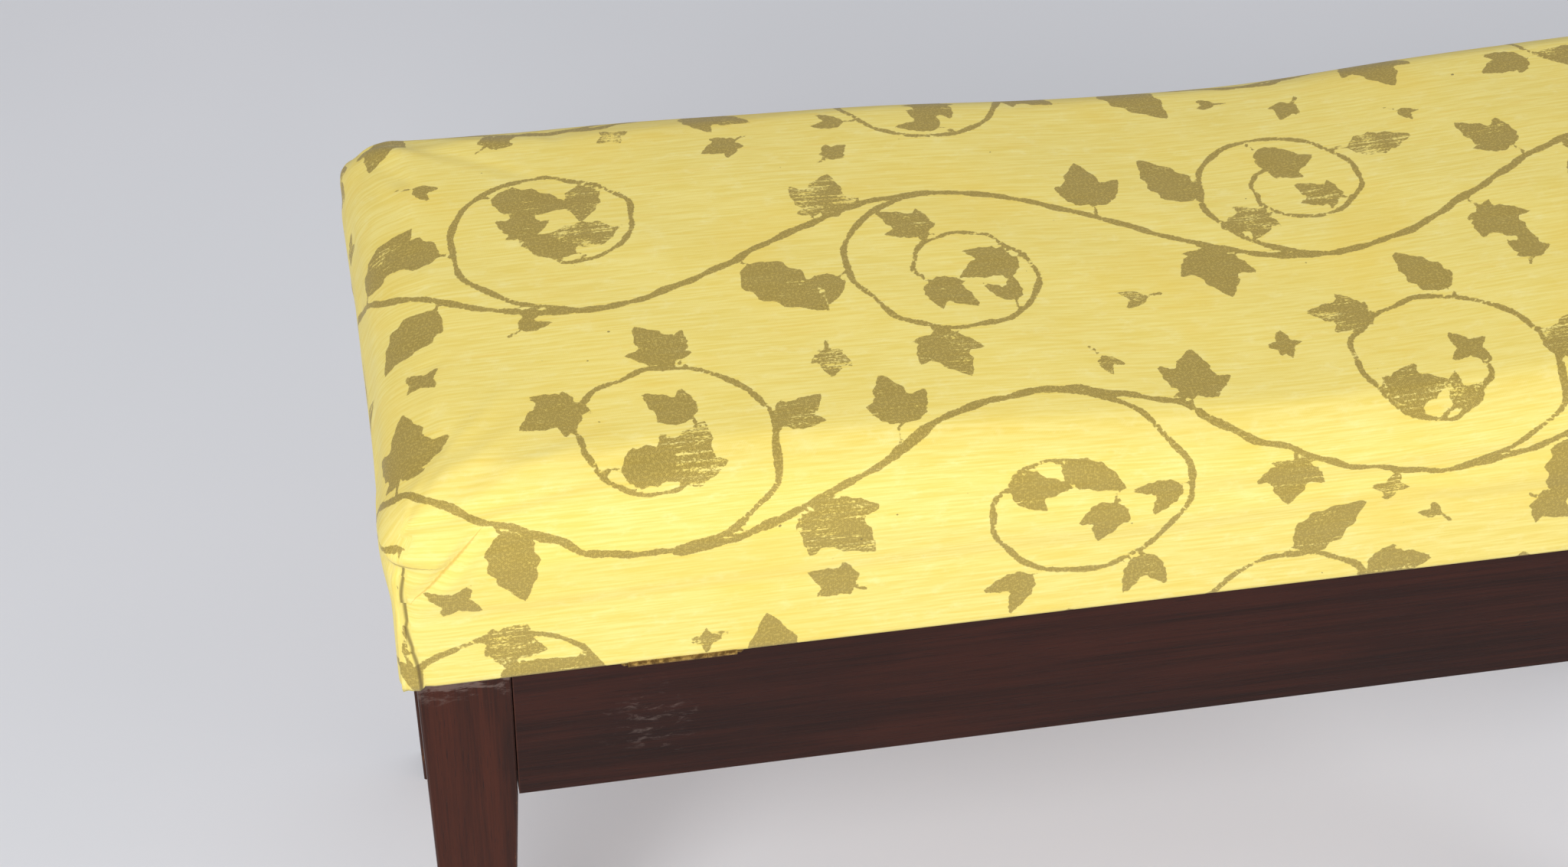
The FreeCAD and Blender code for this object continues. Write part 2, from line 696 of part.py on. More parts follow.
def stay_bracket(screws):
    y = AXIS_Y + STAY_PIVOT[0]
    w = STAY_BRACKET_WIDTH / 2
    flange = box(TAB_X, TAB_X + STAY_FLANGE, y - w, y + w, LID_Z - STAY_BRACKET_THICK, LID_Z)
    pivot = stay_point((0, 0), TAB_X)
    inner = V(STAY_BRACKET_THICK, 0, 0)
    tab = box(TAB_X, TAB_X + inner.x, y - STAY_HALF_WIDTH, y + STAY_HALF_WIDTH, pivot.z, LID_Z)
    round_end = rod(STAY_HALF_WIDTH, pivot, pivot + inner)
    past = V(CUT_PAST, 0, 0)
    bore = rod(STAY_PIN_RADIUS + PIN_FIT, pivot - past, pivot + inner + past)
    return flange.fuse([tab, round_end]).removeSplitter().cut([bore] + screws)


os.makedirs("parts", exist_ok=True)

# Case
rear_left = leg()
rear_right = flip_x(rear_left)
save("leg_rear_left", [rear_left])
save("leg_rear_right", [rear_right])
save("leg_front_left", [flip_y(rear_left)])
save("leg_front_right", [flip_y(rear_right)])

def screw_set(points, z, up):
    # the screws, and the holes that they sit in
    screws = [wood_screw(x, y, z, up, 0.0) for x, y in points]
    holes = [wood_screw(x, y, z, up, JOINT_FIT) for x, y in points]
    return screws, holes


case_screws, case_holes = screw_set(hinge_screw_points(), CASE_LEAF_Z + HINGE_LEAF_THICK, -1)
lid_screws, lid_holes = screw_set(hinge_screw_points(), LEAF_Z, 1)
stay_screws, stay_holes = screw_set(stay_screw_points(), LID_Z - STAY_BRACKET_THICK, 1)

apron = long_apron()
pocket = [hinge_pocket()] + case_holes
save("apron_rear", [apron.cut(pocket + [flip_x(p) for p in pocket])])
save("apron_front", [flip_y(apron)])
short_apron = end_apron()
save("apron_left", [short_apron.cut(stay_stud(JOINT_FIT))])
save("apron_right", [flip_x(short_apron)])

brads = [brad(x, y, 0.0) for x, y in brad_points()]
brad_holes = [brad(x, y, JOINT_FIT) for x, y in brad_points()]
save("ledger_rear", [long_ledger().cut(brad_holes)])
save("ledger_front", [flip_y(long_ledger()).cut(brad_holes)])
save("ledger_left", [end_ledger().cut(brad_holes)])
save("ledger_right", [flip_x(end_ledger()).cut(brad_holes)])
save("bottom_panel", [bottom_panel().cut(brad_holes)])
save("panel_brads", brads)

# Hinges
case_leaf = hinge_leaf(CASE_LEAF_Z, True, case_holes)
lid_leaf = hinge_leaf(LEAF_Z, False, lid_holes)
pin = hinge_pin()
save("hinge_case_leaves", [case_leaf, flip_x(case_leaf)])
save("hinge_lid_leaves", [lid_leaf, flip_x(lid_leaf)])
save("hinge_pins", [pin, flip_x(pin)])
save("hinge_case_screws", case_screws + [flip_x(s) for s in case_screws])
save("hinge_lid_screws", lid_screws + [flip_x(s) for s in lid_screws])

# Lid
tacks = [tack(x, y, 0.0) for x, y in tack_points()]
tack_holes = [tack(x, y, JOINT_FIT) for x, y in tack_points()]
relief = [barrel_tool(BARREL_RELIEF), flip_x(barrel_tool(BARREL_RELIEF))]
fixings = lid_holes + [flip_x(h) for h in lid_holes]

rail = lid_long_rail()
save("lid_rail_rear", [rail.cut(relief + fixings + tack_holes)])
save("lid_rail_front", [flip_y(rail).cut(tack_holes)])
end_rail = lid_end_rail()
save("lid_rail_left", [end_rail.cut(stay_holes + tack_holes)])
save("lid_rail_right", [flip_x(end_rail).cut(tack_holes)])
save("webbing_cross", cross_webbing())
save("webbing_long", long_webbing())
save("hessian", [hessian()])
save("seat_pad", [seat_pad()])
save("seat_cover", [seat_cover(relief + fixings)])
save("lid_lining", [lining().cut(stay_holes + tack_holes)])
save("lining_tacks", tacks)

# Stay
save("stay_bracket", [stay_bracket(stay_holes)])
save("stay_bracket_screws", stay_screws)
save("stay_rivet", [stay_rivet()])
save("stay_arm", [stay_arm()])
save("stay_stud", [stay_stud(0.0)])
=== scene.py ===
# %% [markdown]
# A piano stool: four tapered legs, a deep apron box for music, and a padded lid in printed cotton.
# The imported parts come in as a fixed frame: they keep their size and place, and this script gives every
# surface its finish and makes the seat cover and the lining as cloth. Lengths are metres, +Z is up, and the
# hinge side, which the camera sees, faces -Y.

# %% Load the frame
import math
import random
import bmesh
import bpy
import numpy as np
from mathutils import Matrix, Vector
from mathutils.kdtree import KDTree


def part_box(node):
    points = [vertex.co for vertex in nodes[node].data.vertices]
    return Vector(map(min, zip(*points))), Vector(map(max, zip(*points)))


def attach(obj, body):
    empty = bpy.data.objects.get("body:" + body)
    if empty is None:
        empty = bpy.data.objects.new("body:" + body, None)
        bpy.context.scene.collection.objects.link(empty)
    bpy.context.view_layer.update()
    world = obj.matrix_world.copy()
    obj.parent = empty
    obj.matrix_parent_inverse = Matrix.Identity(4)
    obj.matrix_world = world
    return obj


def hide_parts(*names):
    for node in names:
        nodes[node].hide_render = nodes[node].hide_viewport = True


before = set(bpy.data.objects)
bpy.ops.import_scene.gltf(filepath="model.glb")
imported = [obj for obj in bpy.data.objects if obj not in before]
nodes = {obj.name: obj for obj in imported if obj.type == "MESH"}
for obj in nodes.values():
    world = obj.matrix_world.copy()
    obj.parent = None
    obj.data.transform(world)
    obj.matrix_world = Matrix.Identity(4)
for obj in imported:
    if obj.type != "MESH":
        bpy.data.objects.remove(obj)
scene = bpy.context.scene
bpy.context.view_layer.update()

# %% [markdown]
# A finish is a tree of shader nodes. Wired one by one they fill many lines, so a few small helpers come
# first: they add a node, do sums on sockets or plain numbers, blend colours and make noise. Colours are
# written as they look on a screen, and shaders want linear light, so `paint` converts them.


# %% Node helpers
def paint(red, green, blue):
    screen = (red / 255, green / 255, blue / 255)
    linear = [c / 12.92 if c <= 0.04045 else ((c + 0.055) / 1.055) ** 2.4 for c in screen]
    return (*linear, 1.0)


def feed(tree, socket, value):
    if isinstance(value, bpy.types.NodeSocket):
        tree.links.new(value, socket)
    else:
        socket.default_value = value


def add(tree, kind, inputs=None, **settings):
    node = tree.nodes.new(kind)
    for name, value in settings.items():
        setattr(node, name, value)
    for name, value in (inputs or {}).items():
        feed(tree, node.inputs[name], value)
    return node


def calc(tree, operation, a, b=0.0, clamp=False):
    node = add(tree, "ShaderNodeMath", {0: a, 1: b}, operation=operation, use_clamp=clamp)
    return node.outputs[0]


def plus_share(tree, base, value, share):
    return calc(tree, "ADD", base, calc(tree, "MULTIPLY", value, share))


def blend_colours(tree, amount, low, high):
    return add(tree, "ShaderNodeMix", {0: amount, 6: low, 7: high}, data_type="RGBA").outputs[2]


def tint(tree, colour, mask, strength, shade):
    return blend_colours(tree, calc(tree, "MULTIPLY", mask, strength), colour, shade)


def step_between(tree, value, start, end):
    inputs = {"Value": value, "From Min": start, "From Max": end}
    return add(tree, "ShaderNodeMapRange", inputs, interpolation_type="SMOOTHSTEP").outputs[0]


def noise(tree, vector, scale, detail, roughness, distortion=0.0):
    inputs = {"Vector": vector, "Scale": scale, "Detail": detail}
    inputs |= {"Roughness": roughness, "Distortion": distortion}
    return add(tree, "ShaderNodeTexNoise", inputs).outputs["Fac"]


def stretched(tree, vector, scale, place=(0.0, 0.0, 0.0)):
    return add(tree, "ShaderNodeMapping", {"Vector": vector, "Scale": scale, "Location": place}).outputs[0]


def stretched_noise(tree, vector, stretch, detail, roughness, distortion=0.0, place=(0.0, 0.0, 0.0)):
    return noise(tree, stretched(tree, vector, stretch, place), 1.0, detail, roughness, distortion)


print("a screen's middle grey is", round(paint(128, 128, 128)[0], 3), "in linear light")

# %% [markdown]
# Four effects turn up in more than one finish: the figure of wood, wear along edges, the weave of cloth,
# and scuffs. They could be wired again in every material, but a node group is built once and then placed
# with its own values, like a stamp. These two helpers make a group and place it.


# %% Group helpers
def new_group(name, inputs, outputs):
    group = bpy.data.node_groups.new(name, "ShaderNodeTree")
    for label, kind, value in inputs:
        socket = group.interface.new_socket(label, in_out="INPUT", socket_type=kind)
        if value is not None:
            socket.default_value = value
    for label, kind in outputs:
        group.interface.new_socket(label, in_out="OUTPUT", socket_type=kind)
    return group, group.nodes.new("NodeGroupInput").outputs, group.nodes.new("NodeGroupOutput").inputs


def use_group(tree, group, inputs):
    return add(tree, "ShaderNodeGroup", inputs, node_tree=group).outputs


VECTOR = "NodeSocketVector"
FLOAT = "NodeSocketFloat"

# %% [markdown]
# Sawn and polished wood shows long soft bands, fine fibre and short dark pores. All three are noise that is
# stretched along the grain, and each material turns its coordinates so that the grain runs along X here.

# %% Wood figure group
BAND_STRETCH = (2.2, 42.0, 42.0)
FIBRE_STRETCH = (14.0, 620.0, 620.0)
PORE_STRETCH = (70.0, 1900.0, 1900.0)
PORE_LEVELS = (0.62, 0.74)
wood_figure, group_in, group_out = new_group(
    "wood_figure",
    [("Vector", VECTOR, None)],
    [("Bands", FLOAT), ("Fibre", FLOAT), ("Pores", FLOAT), ("Height", FLOAT)],
)
bands = stretched_noise(wood_figure, group_in["Vector"], BAND_STRETCH, 5.0, 0.62, 0.8)
fibre = stretched_noise(wood_figure, group_in["Vector"], FIBRE_STRETCH, 3.0, 0.6)
pore_noise = stretched_noise(wood_figure, group_in["Vector"], PORE_STRETCH, 1.0, 0.5)
pores = step_between(wood_figure, pore_noise, *PORE_LEVELS)
height = calc(wood_figure, "SUBTRACT", calc(wood_figure, "MULTIPLY", fibre, 0.5), pores)
for label, value in (("Bands", bands), ("Fibre", fibre), ("Pores", pores), ("Height", height)):
    feed(wood_figure, group_out[label], value)
print("group", wood_figure.name)

# %% [markdown]
# Wear shows where faces meet. The Bevel node gives the direction that a rounded edge would face; where that
# differs from the flat face's own direction, the point lies near an edge. Noise breaks the line up into
# separate knocks, because a clean bright outline looks painted on.

# %% Edge wear group
FLAT_FACE = 0.995
ROUND_EDGE = 0.86
KNOCK_SCALE = 55.0
KNOCK_FADE = 0.08
edge_wear, group_in, group_out = new_group(
    "edge_wear",
    [("Vector", VECTOR, None), ("Radius", FLOAT, 0.0015), ("Knocks", FLOAT, 0.55)],
    [("Edge", FLOAT), ("Wear", FLOAT)],
)
rounded = add(edge_wear, "ShaderNodeBevel", {"Radius": group_in["Radius"]}, samples=6).outputs[0]
true_normal = add(edge_wear, "ShaderNodeNewGeometry").outputs["True Normal"]
facing = add(edge_wear, "ShaderNodeVectorMath", {0: rounded, 1: true_normal}, operation="DOT_PRODUCT")
edge = step_between(edge_wear, facing.outputs["Value"], FLAT_FACE, ROUND_EDGE)
patches = noise(edge_wear, group_in["Vector"], KNOCK_SCALE, 4.0, 0.65)
knocks_full = calc(edge_wear, "ADD", group_in["Knocks"], KNOCK_FADE)
knocks = step_between(edge_wear, patches, group_in["Knocks"], knocks_full)
feed(edge_wear, group_out["Edge"], edge)
feed(edge_wear, group_out["Wear"], calc(edge_wear, "MULTIPLY", edge, knocks))
print("group", edge_wear.name)

# %% [markdown]
# Plain weave is two sets of threads that take turns on top. A sine across each thread makes it round, and a
# checker of thread numbers says which set lies over the other. Real threads would be millions of faces, so
# the weave stays in the shader.

# %% Plain weave group
plain_weave, group_in, group_out = new_group(
    "plain_weave",
    [("Vector", VECTOR, None), ("Threads", FLOAT, 1000.0)],
    [("Height", FLOAT), ("Over", FLOAT)],
)
scaling = {0: group_in["Vector"], "Scale": group_in["Threads"]}
count = add(plain_weave, "ShaderNodeVectorMath", scaling, operation="SCALE")
axes = add(plain_weave, "ShaderNodeSeparateXYZ", {0: count.outputs[0]}).outputs
rounds = []
numbers = []
for axis in axes[:2]:
    half_turns = calc(plain_weave, "MULTIPLY", axis, math.pi)
    rounds.append(calc(plain_weave, "ABSOLUTE", calc(plain_weave, "SINE", half_turns)))
    numbers.append(calc(plain_weave, "FLOOR", axis))
turn = calc(plain_weave, "ADD", numbers[0], numbers[1])
over = calc(plain_weave, "PINGPONG", turn, 1.0)
warp = calc(plain_weave, "MULTIPLY", rounds[0], calc(plain_weave, "SUBTRACT", 1.0, over))
weft = calc(plain_weave, "MULTIPLY", rounds[1], over)
feed(plain_weave, group_out["Height"], calc(plain_weave, "ADD", warp, weft))
feed(plain_weave, group_out["Over"], over)
print("group", plain_weave.name)

# %% [markdown]
# Scuffs are pale rubbed patches: streaky noise cut off at a threshold, let through only where a mask says
# that the piece was knocked.

# %% Scuff group
SCUFF_PULL = 0.22
SCUFF_FADE = 0.16
scuffs, group_in, group_out = new_group(
    "scuffs",
    [("Vector", VECTOR, None), ("Where", FLOAT, 0.0), ("Level", FLOAT, 0.6)],
    [("Scuff", FLOAT)],
)
cloud = noise(scuffs, group_in["Vector"], 1.0, 6.0, 0.7, 0.4)
reach = plus_share(scuffs, cloud, group_in["Where"], SCUFF_PULL)
rubbed = step_between(scuffs, reach, group_in["Level"], calc(scuffs, "ADD", group_in["Level"], SCUFF_FADE))
feed(scuffs, group_out["Scuff"], calc(scuffs, "MULTIPLY", rubbed, group_in["Where"], True))
print("group", scuffs.name)

# %% [markdown]
# A finish is one Principled shader with its numbers set on the shader's own sockets, and the colours, masks
# and bump wired in. `new_finish` returns the material, its tree, the shader and the coordinates to paint by.


# %% Finish helpers
def new_finish(name, **constants):
    material = bpy.data.materials.new(name)
    material.use_nodes = True
    tree = material.node_tree
    shader = tree.nodes["Principled BSDF"]
    for label, value in constants.items():
        shader.inputs[label.replace("_", " ")].default_value = value
    return material, tree, shader, add(tree, "ShaderNodeTexCoord").outputs["Object"]


def raise_bumps(tree, shader, height, depth, strength, under=None):
    inputs = {"Height": height, "Distance": depth, "Strength": strength}
    if under is not None:
        inputs["Normal"] = under
    bump = add(tree, "ShaderNodeBump", inputs).outputs[0]
    feed(tree, shader.inputs["Normal"], bump)
    return bump


def near_place(tree, place, radius, coordinates):
    apart = add(tree, "ShaderNodeVectorMath", {0: coordinates, 1: place}, operation="DISTANCE")
    return step_between(tree, apart.outputs["Value"], radius, 0.1 * radius)


def turned_grain(tree, coordinates, order):
    parts = add(tree, "ShaderNodeSeparateXYZ", {0: coordinates}).outputs
    turned = {slot: parts[source] for slot, source in enumerate(order)}
    return add(tree, "ShaderNodeCombineXYZ", turned).outputs[0]


# %% [markdown]
# The case is mahogany under an old satin polish. Legs are a warmer red with the grain upright, the aprons
# darker with figure along the board. The polish is rubbed pale at the leg tops, where the lid's cover drags
# when it opens, and there is one scuffed patch on the hinge-side apron. Colours are laid on in the order in
# which the years did it: wood, pores, grime, worn edges, scuffs.

# %% Mahogany
LEG_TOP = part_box("leg_rear_left")[1].z
APRON_SCUFF = (-0.304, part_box("apron_rear")[0].y, 0.356)
SCUFF_RADIUS = 0.046
SCUFF_SHARE = 0.5
SCUFF_STRETCH = (95.0, 95.0, 260.0)
RUBBED_LEG = 0.028
RUBBED_APRON = 0.008
PORE_BROWN = paint(26, 14, 12)
GRIME_BROWN = paint(34, 18, 15)
EDGE_TAN = paint(112, 66, 46)
WORN_TAN = paint(168, 116, 72)
SCUFF_GREY = paint(140, 122, 114)
ALONG_X = (0, 1, 2)
ALONG_Y = (1, 0, 2)
ALONG_Z = (2, 0, 1)


def scuffed_places(tree, object_space, rubbed_height):
    height_up = add(tree, "ShaderNodeSeparateXYZ", {0: object_space}).outputs[2]
    rubbed_top = step_between(tree, height_up, LEG_TOP - rubbed_height, LEG_TOP)
    patch = near_place(tree, APRON_SCUFF, SCUFF_RADIUS, object_space)
    return calc(tree, "MAXIMUM", rubbed_top, calc(tree, "MULTIPLY", patch, SCUFF_SHARE))


def mahogany(name, order, light, dark, rubbed_height):
    material, tree, shader, object_space = new_finish(name, Specular_IOR_Level=0.14, Coat_Weight=0.02)
    figure = use_group(tree, wood_figure, {"Vector": turned_grain(tree, object_space, order)})
    tone = plus_share(tree, calc(tree, "MULTIPLY", figure["Bands"], 0.65), figure["Fibre"], 0.35)
    colour = blend_colours(tree, step_between(tree, tone, 0.34, 0.66), dark, light)
    colour = tint(tree, colour, figure["Pores"], 0.55, PORE_BROWN)
    grime = step_between(tree, noise(tree, object_space, 7.0, 4.0, 0.6), 0.42, 0.7)
    colour = tint(tree, colour, grime, 0.28, GRIME_BROWN)
    worn = use_group(tree, edge_wear, {"Vector": object_space, "Radius": 0.0016, "Knocks": 0.56})
    colour = tint(tree, colour, worn["Edge"], 0.3, EDGE_TAN)
    colour = tint(tree, colour, worn["Wear"], 0.85, WORN_TAN)
    streaks = stretched(tree, object_space, SCUFF_STRETCH)
    where = scuffed_places(tree, object_space, rubbed_height)
    pale = use_group(tree, scuffs, {"Vector": streaks, "Where": where, "Level": 0.61})["Scuff"]
    colour = tint(tree, colour, pale, 0.5, SCUFF_GREY)
    feed(tree, shader.inputs["Base Color"], colour)
    haze = plus_share(tree, 0.36, noise(tree, object_space, 24.0, 4.0, 0.6), 0.16)
    feed(tree, shader.inputs["Roughness"], plus_share(tree, haze, pale, 0.3))
    raise_bumps(tree, shader, figure["Height"], 0.0003, 0.35)
    return material


leg_polish = mahogany("leg_polish", ALONG_Z, paint(70, 32, 19), paint(44, 20, 12), RUBBED_LEG)
long_polish = mahogany("long_apron_polish", ALONG_X, paint(58, 26, 17), paint(35, 16, 10), RUBBED_APRON)
end_polish = mahogany("end_apron_polish", ALONG_Y, paint(60, 27, 18), paint(37, 17, 11), RUBBED_APRON)
print("mahogany finishes", leg_polish.name, long_polish.name, end_polish.name)

# %% [markdown]
# Wood that nobody polishes sits inside: beech for the lid frame and the ledgers, and thin ply for the
# compartment's floor. The same figure group gives both, with paler colours and a dry, rough surface.

# %% Raw timber
BEECH = (paint(206, 168, 124), paint(176, 134, 92), paint(120, 84, 56))
PLY = (paint(196, 156, 110), paint(162, 120, 78), paint(108, 76, 50))


def raw_timber(name, order, light, dark, stain):
    material, tree, shader, object_space = new_finish(name)
    figure = use_group(tree, wood_figure, {"Vector": turned_grain(tree, object_space, order)})
    tone = plus_share(tree, calc(tree, "MULTIPLY", figure["Bands"], 0.5), figure["Fibre"], 0.5)
    colour = blend_colours(tree, step_between(tree, tone, 0.3, 0.7), dark, light)
    colour = tint(tree, colour, figure["Pores"], 0.3, stain)
    aged = step_between(tree, noise(tree, object_space, 9.0, 5.0, 0.65), 0.45, 0.75)
    feed(tree, shader.inputs["Base Color"], tint(tree, colour, aged, 0.4, stain))
    feed(tree, shader.inputs["Roughness"], plus_share(tree, 0.62, figure["Fibre"], 0.2))
    raise_bumps(tree, shader, figure["Height"], 0.0003, 0.4)
    return material


beech_long = raw_timber("beech_along", ALONG_X, *BEECH)
beech_end = raw_timber("beech_across", ALONG_Y, *BEECH)
ply = raw_timber("panel_ply", ALONG_X, *PLY)
print("raw timber", beech_long.name, beech_end.name, ply.name)

# %% [markdown]
# The hinges, screws and lid stay are old brass: still yellow where hands and rubbing keep it bright, brown
# and dull elsewhere. Tacks and brads are blued steel with a little rust. Both are one finish with two sets
# of colours: tarnish in clouds, stains in spots, and bare metal on the edges.

# %% Metals
TARNISH_FADE = 0.25
DRAWN_STRETCH = (90.0, 2600.0, 2600.0)


def old_metal(name, bright, dull, stain, clean_level):
    material, tree, shader, object_space = new_finish(name, Metallic=1.0)
    worn = use_group(tree, edge_wear, {"Vector": object_space, "Radius": 0.0007, "Knocks": 0.35})
    clouds = noise(tree, object_space, 260.0, 5.0, 0.65)
    tarnish = step_between(tree, clouds, clean_level, clean_level + TARNISH_FADE)
    colour = blend_colours(tree, tarnish, bright, dull)
    spots = step_between(tree, noise(tree, object_space, 900.0, 3.0, 0.6), 0.6, 0.72)
    colour = tint(tree, colour, spots, 0.6, stain)
    feed(tree, shader.inputs["Base Color"], tint(tree, colour, worn["Wear"], 0.7, bright))
    feed(tree, shader.inputs["Roughness"], plus_share(tree, 0.26, tarnish, 0.28))
    raise_bumps(tree, shader, stretched_noise(tree, object_space, DRAWN_STRETCH, 2.0, 0.55), 0.00008, 0.3)
    return material


brass = old_metal("old_brass", paint(196, 158, 84), paint(112, 84, 44), paint(62, 46, 28), 0.34)
blued = old_metal("blued_steel", paint(108, 110, 118), paint(54, 54, 60), paint(92, 58, 40), 0.4)
print("metals", brass.name, blued.name)

# %% [markdown]
# The frame's rigid nodes keep their own meshes. A node brings one plain material slot, so giving it a finish
# is one assignment.

# %% Dress the rigid nodes
finishes = {
    leg_polish: ("leg_rear_left", "leg_rear_right", "leg_front_left", "leg_front_right"),
    long_polish: ("apron_rear", "apron_front"),
    end_polish: ("apron_left", "apron_right"),
    beech_long: ("ledger_rear", "ledger_front", "lid_rail_rear", "lid_rail_front"),
    beech_end: ("ledger_left", "ledger_right", "lid_rail_left", "lid_rail_right"),
    ply: ("bottom_panel",),
    brass: [name for name in nodes if name.startswith(("hinge_", "stay_"))],
    blued: ("panel_brads", "lining_tacks"),
}
for finish, names in finishes.items():
    for name in names:
        nodes[name].data.materials[0] = finish
print("dressed", sum(len(names) for names in finishes.values()), "rigid nodes")

# %% [markdown]
# The padded lid is the main piece. One cloth lies over the stuffing, turns down over the rolled edge, runs
# straight past the wooden lid frame and is tacked under it. Heights of the seat are counted from the lid's
# underside. SHOULDER is where the top would be without its crown, RISE the height in which the edge rolls
# over, and BOARD the height of the wooden frame. The solid cover's ears reach past the lid by EAR.

# %% Sizes of the seat
cover_low, cover_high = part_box("seat_cover")
LID_Z = cover_low.z
EAR = 0.005
LID_HALF_L = cover_high.x - EAR
LID_HALF_D = cover_high.y - EAR
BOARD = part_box("lid_rail_rear")[1].z - LID_Z
SHOULDER = 0.120
RISE = 0.028
SIDE = SHOULDER - RISE
print("seat", round(LID_HALF_L, 4), round(LID_HALF_D, 4), "board", round(BOARD, 4))

# %% [markdown]
# The blank is a cube of the seat's size, cut into 5 mm squares, with a mouth underneath where the lining
# will close it. A flat sheet could be draped over the pad instead, but on a box every point keeps a plain
# address: which side it lies on, and how far from which edge. The folds and the print use that address.

# %% Cut the blank
COVER_RETURN = 0.038
CLOTH_STEP = 0.005


def runs_along(edge, axis):
    return abs(edge.verts[0].co[axis] - edge.verts[1].co[axis]) > 0.5 * edge.calc_length()


def cover_blank():
    blank = bmesh.new()
    sizes = (2 * LID_HALF_L, 2 * LID_HALF_D, SHOULDER)
    bmesh.ops.create_cube(blank, size=1.0)
    bmesh.ops.scale(blank, vec=sizes, verts=blank.verts)
    bmesh.ops.translate(blank, vec=(0, 0, LID_Z + SHOULDER / 2), verts=blank.verts)
    for axis, length in enumerate(sizes):
        edges = [edge for edge in blank.edges if runs_along(edge, axis)]
        cuts = round(length / CLOTH_STEP) - 1
        bmesh.ops.subdivide_edges(blank, edges=edges, cuts=cuts, use_grid_fill=True)
    mouth = []
    for face in blank.faces:
        x, y, z = face.calc_center_median()
        inside = abs(x) < LID_HALF_L - COVER_RETURN and abs(y) < LID_HALF_D - COVER_RETURN
        if inside and z < LID_Z + 0.1 * CLOTH_STEP:
            mouth.append(face)
    bmesh.ops.delete(blank, geom=mouth, context="FACES")
    mesh = bpy.data.meshes.new("seat_upholstery")
    blank.to_mesh(mesh)
    blank.free()
    return mesh


cover_mesh = cover_blank()
print("blank", len(cover_mesh.vertices), "points", len(cover_mesh.polygons), "squares")

# %% [markdown]
# Points are moved by the thousand below, so they are read into arrays and written back in one go. A value
# that belongs to each point, such as its place on the blank, is kept on the mesh as an attribute.


# %% Point helpers
def read_vectors(items, name):
    values = np.empty(len(items) * 3)
    items.foreach_get(name, values)
    return values.reshape(-1, 3)


def write_points(mesh, points):
    mesh.vertices.foreach_set("co", points.astype(np.float32).ravel())
    mesh.update()


def keep_on_points(mesh, name, values):
    kind, label = ("FLOAT", "value") if values.ndim == 1 else ("FLOAT_VECTOR", "vector")
    attribute = mesh.attributes.new(name, kind, "POINT")
    attribute.data.foreach_set(label, values.astype(np.float32).ravel())


def ease(value, start, end):
    t = np.clip((value - start) / (end - start), 0.0, 1.0)
    return t * t * (3 - 2 * t)


def bell(value, width):
    return np.exp(-((value / width) ** 2))


blank_points = read_vectors(cover_mesh.vertices, "co")
keep_on_points(cover_mesh, "blank_place", blank_points)
print("kept", len(blank_points), "places on the blank")

# %% [markdown]
# Rounding works point by point. Each point of the box has a nearest point on a smaller inner box; pushed
# from there to a fixed distance, the corners become round, tight at the wooden frame and generous at the
# padded top. The long use of the stool has sunk the seat near the middle, and the ends of the pad stand out
# a little as ears at the corners.

# %% Round the seat
FRAME_CORNER = 0.009
ROLL = 0.031
CROWN = 0.006
HEM_DROP = 0.002
HEM_REACH = 0.012
HOLLOW_X = 0.070
HOLLOW_WIDTH = 0.170
HOLLOW_DEPTH = 0.0145
WORN_DEPTH = 0.003
EARS = {(-1, -1): 0.0062, (1, -1): 0.0046, (-1, 1): 0.0030, (1, 1): 0.0036}
EAR_ALONG = 4.0
EAR_ACROSS = 1.6
EAR_SPREAD = 0.55
EAR_SIDE_SHARE = 0.6
FACING_OUT = 0.3


def worn_hollow(x):
    ends = 1 - np.abs(x / LID_HALF_L) ** 4
    return HOLLOW_DEPTH * bell(x - HOLLOW_X, HOLLOW_WIDTH) + WORN_DEPTH * ends


def rounded_box(box_points, up):
    radius = FRAME_CORNER + (ROLL - FRAME_CORNER) * ease(up, BOARD, SHOULDER)
    half = np.stack([LID_HALF_L - radius, LID_HALF_D - radius], axis=1)
    core = np.concatenate([np.clip(box_points[:, :2], -half, half), box_points[:, 2:]], axis=1)
    core[:, 2] = LID_Z + np.minimum(up, SIDE)
    reach = np.stack([radius, radius, np.full(len(up), RISE)], axis=1)
    out = (box_points - core) / reach
    square = np.where(up > SIDE, 1.0, np.abs(out).max(axis=1))
    length = np.maximum(np.linalg.norm(out, axis=1), 1e-9)
    out *= (square / length)[:, None]
    return core + out * reach, out


def seat_form(box_points):
    up = box_points[:, 2] - LID_Z
    form, out = rounded_box(box_points, up)
    edge_gap = np.minimum(LID_HALF_L - np.abs(box_points[:, 0]), LID_HALF_D - np.abs(box_points[:, 1]))
    form[:, 2] -= HEM_DROP * (1 - ease(up, 0.0, HEM_REACH)) * (1 - ease(edge_gap, 0.0, 0.5 * HEM_REACH))
    along = form[:, 0] / LID_HALF_L
    across = form[:, 1] / LID_HALF_D
    crown = CROWN * (1 - np.clip(along, -1, 1) ** 4) * (1 - np.clip(across, -1, 1) ** 2)
    form[:, 2] += crown * ease(form[:, 2] - LID_Z, SHOULDER - 0.5 * RISE, SHOULDER)
    padded = ease(up, BOARD, SIDE) * (1 - ease(form[:, 2] - LID_Z, SIDE, SHOULDER))
    for (sx, sy), size in EARS.items():
        from_end = EAR_ALONG * np.clip(1 - sx * along, 0, None)
        from_side = EAR_ACROSS * np.clip(1 - sy * across, 0, None)
        bulge = size * padded * bell(np.hypot(from_end, from_side), EAR_SPREAD)
        form[:, 0] += sx * bulge * (np.abs(out[:, 0]) > FACING_OUT)
        form[:, 1] += sy * bulge * EAR_SIDE_SHARE * (np.abs(out[:, 1]) > FACING_OUT)
    form[:, 2] -= worn_hollow(form[:, 0]) * ease(form[:, 2] - LID_Z, BOARD, SHOULDER)
    return form


seat_points = seat_form(blank_points)
print("seat top", round(seat_points[:, 2].max(), 4))

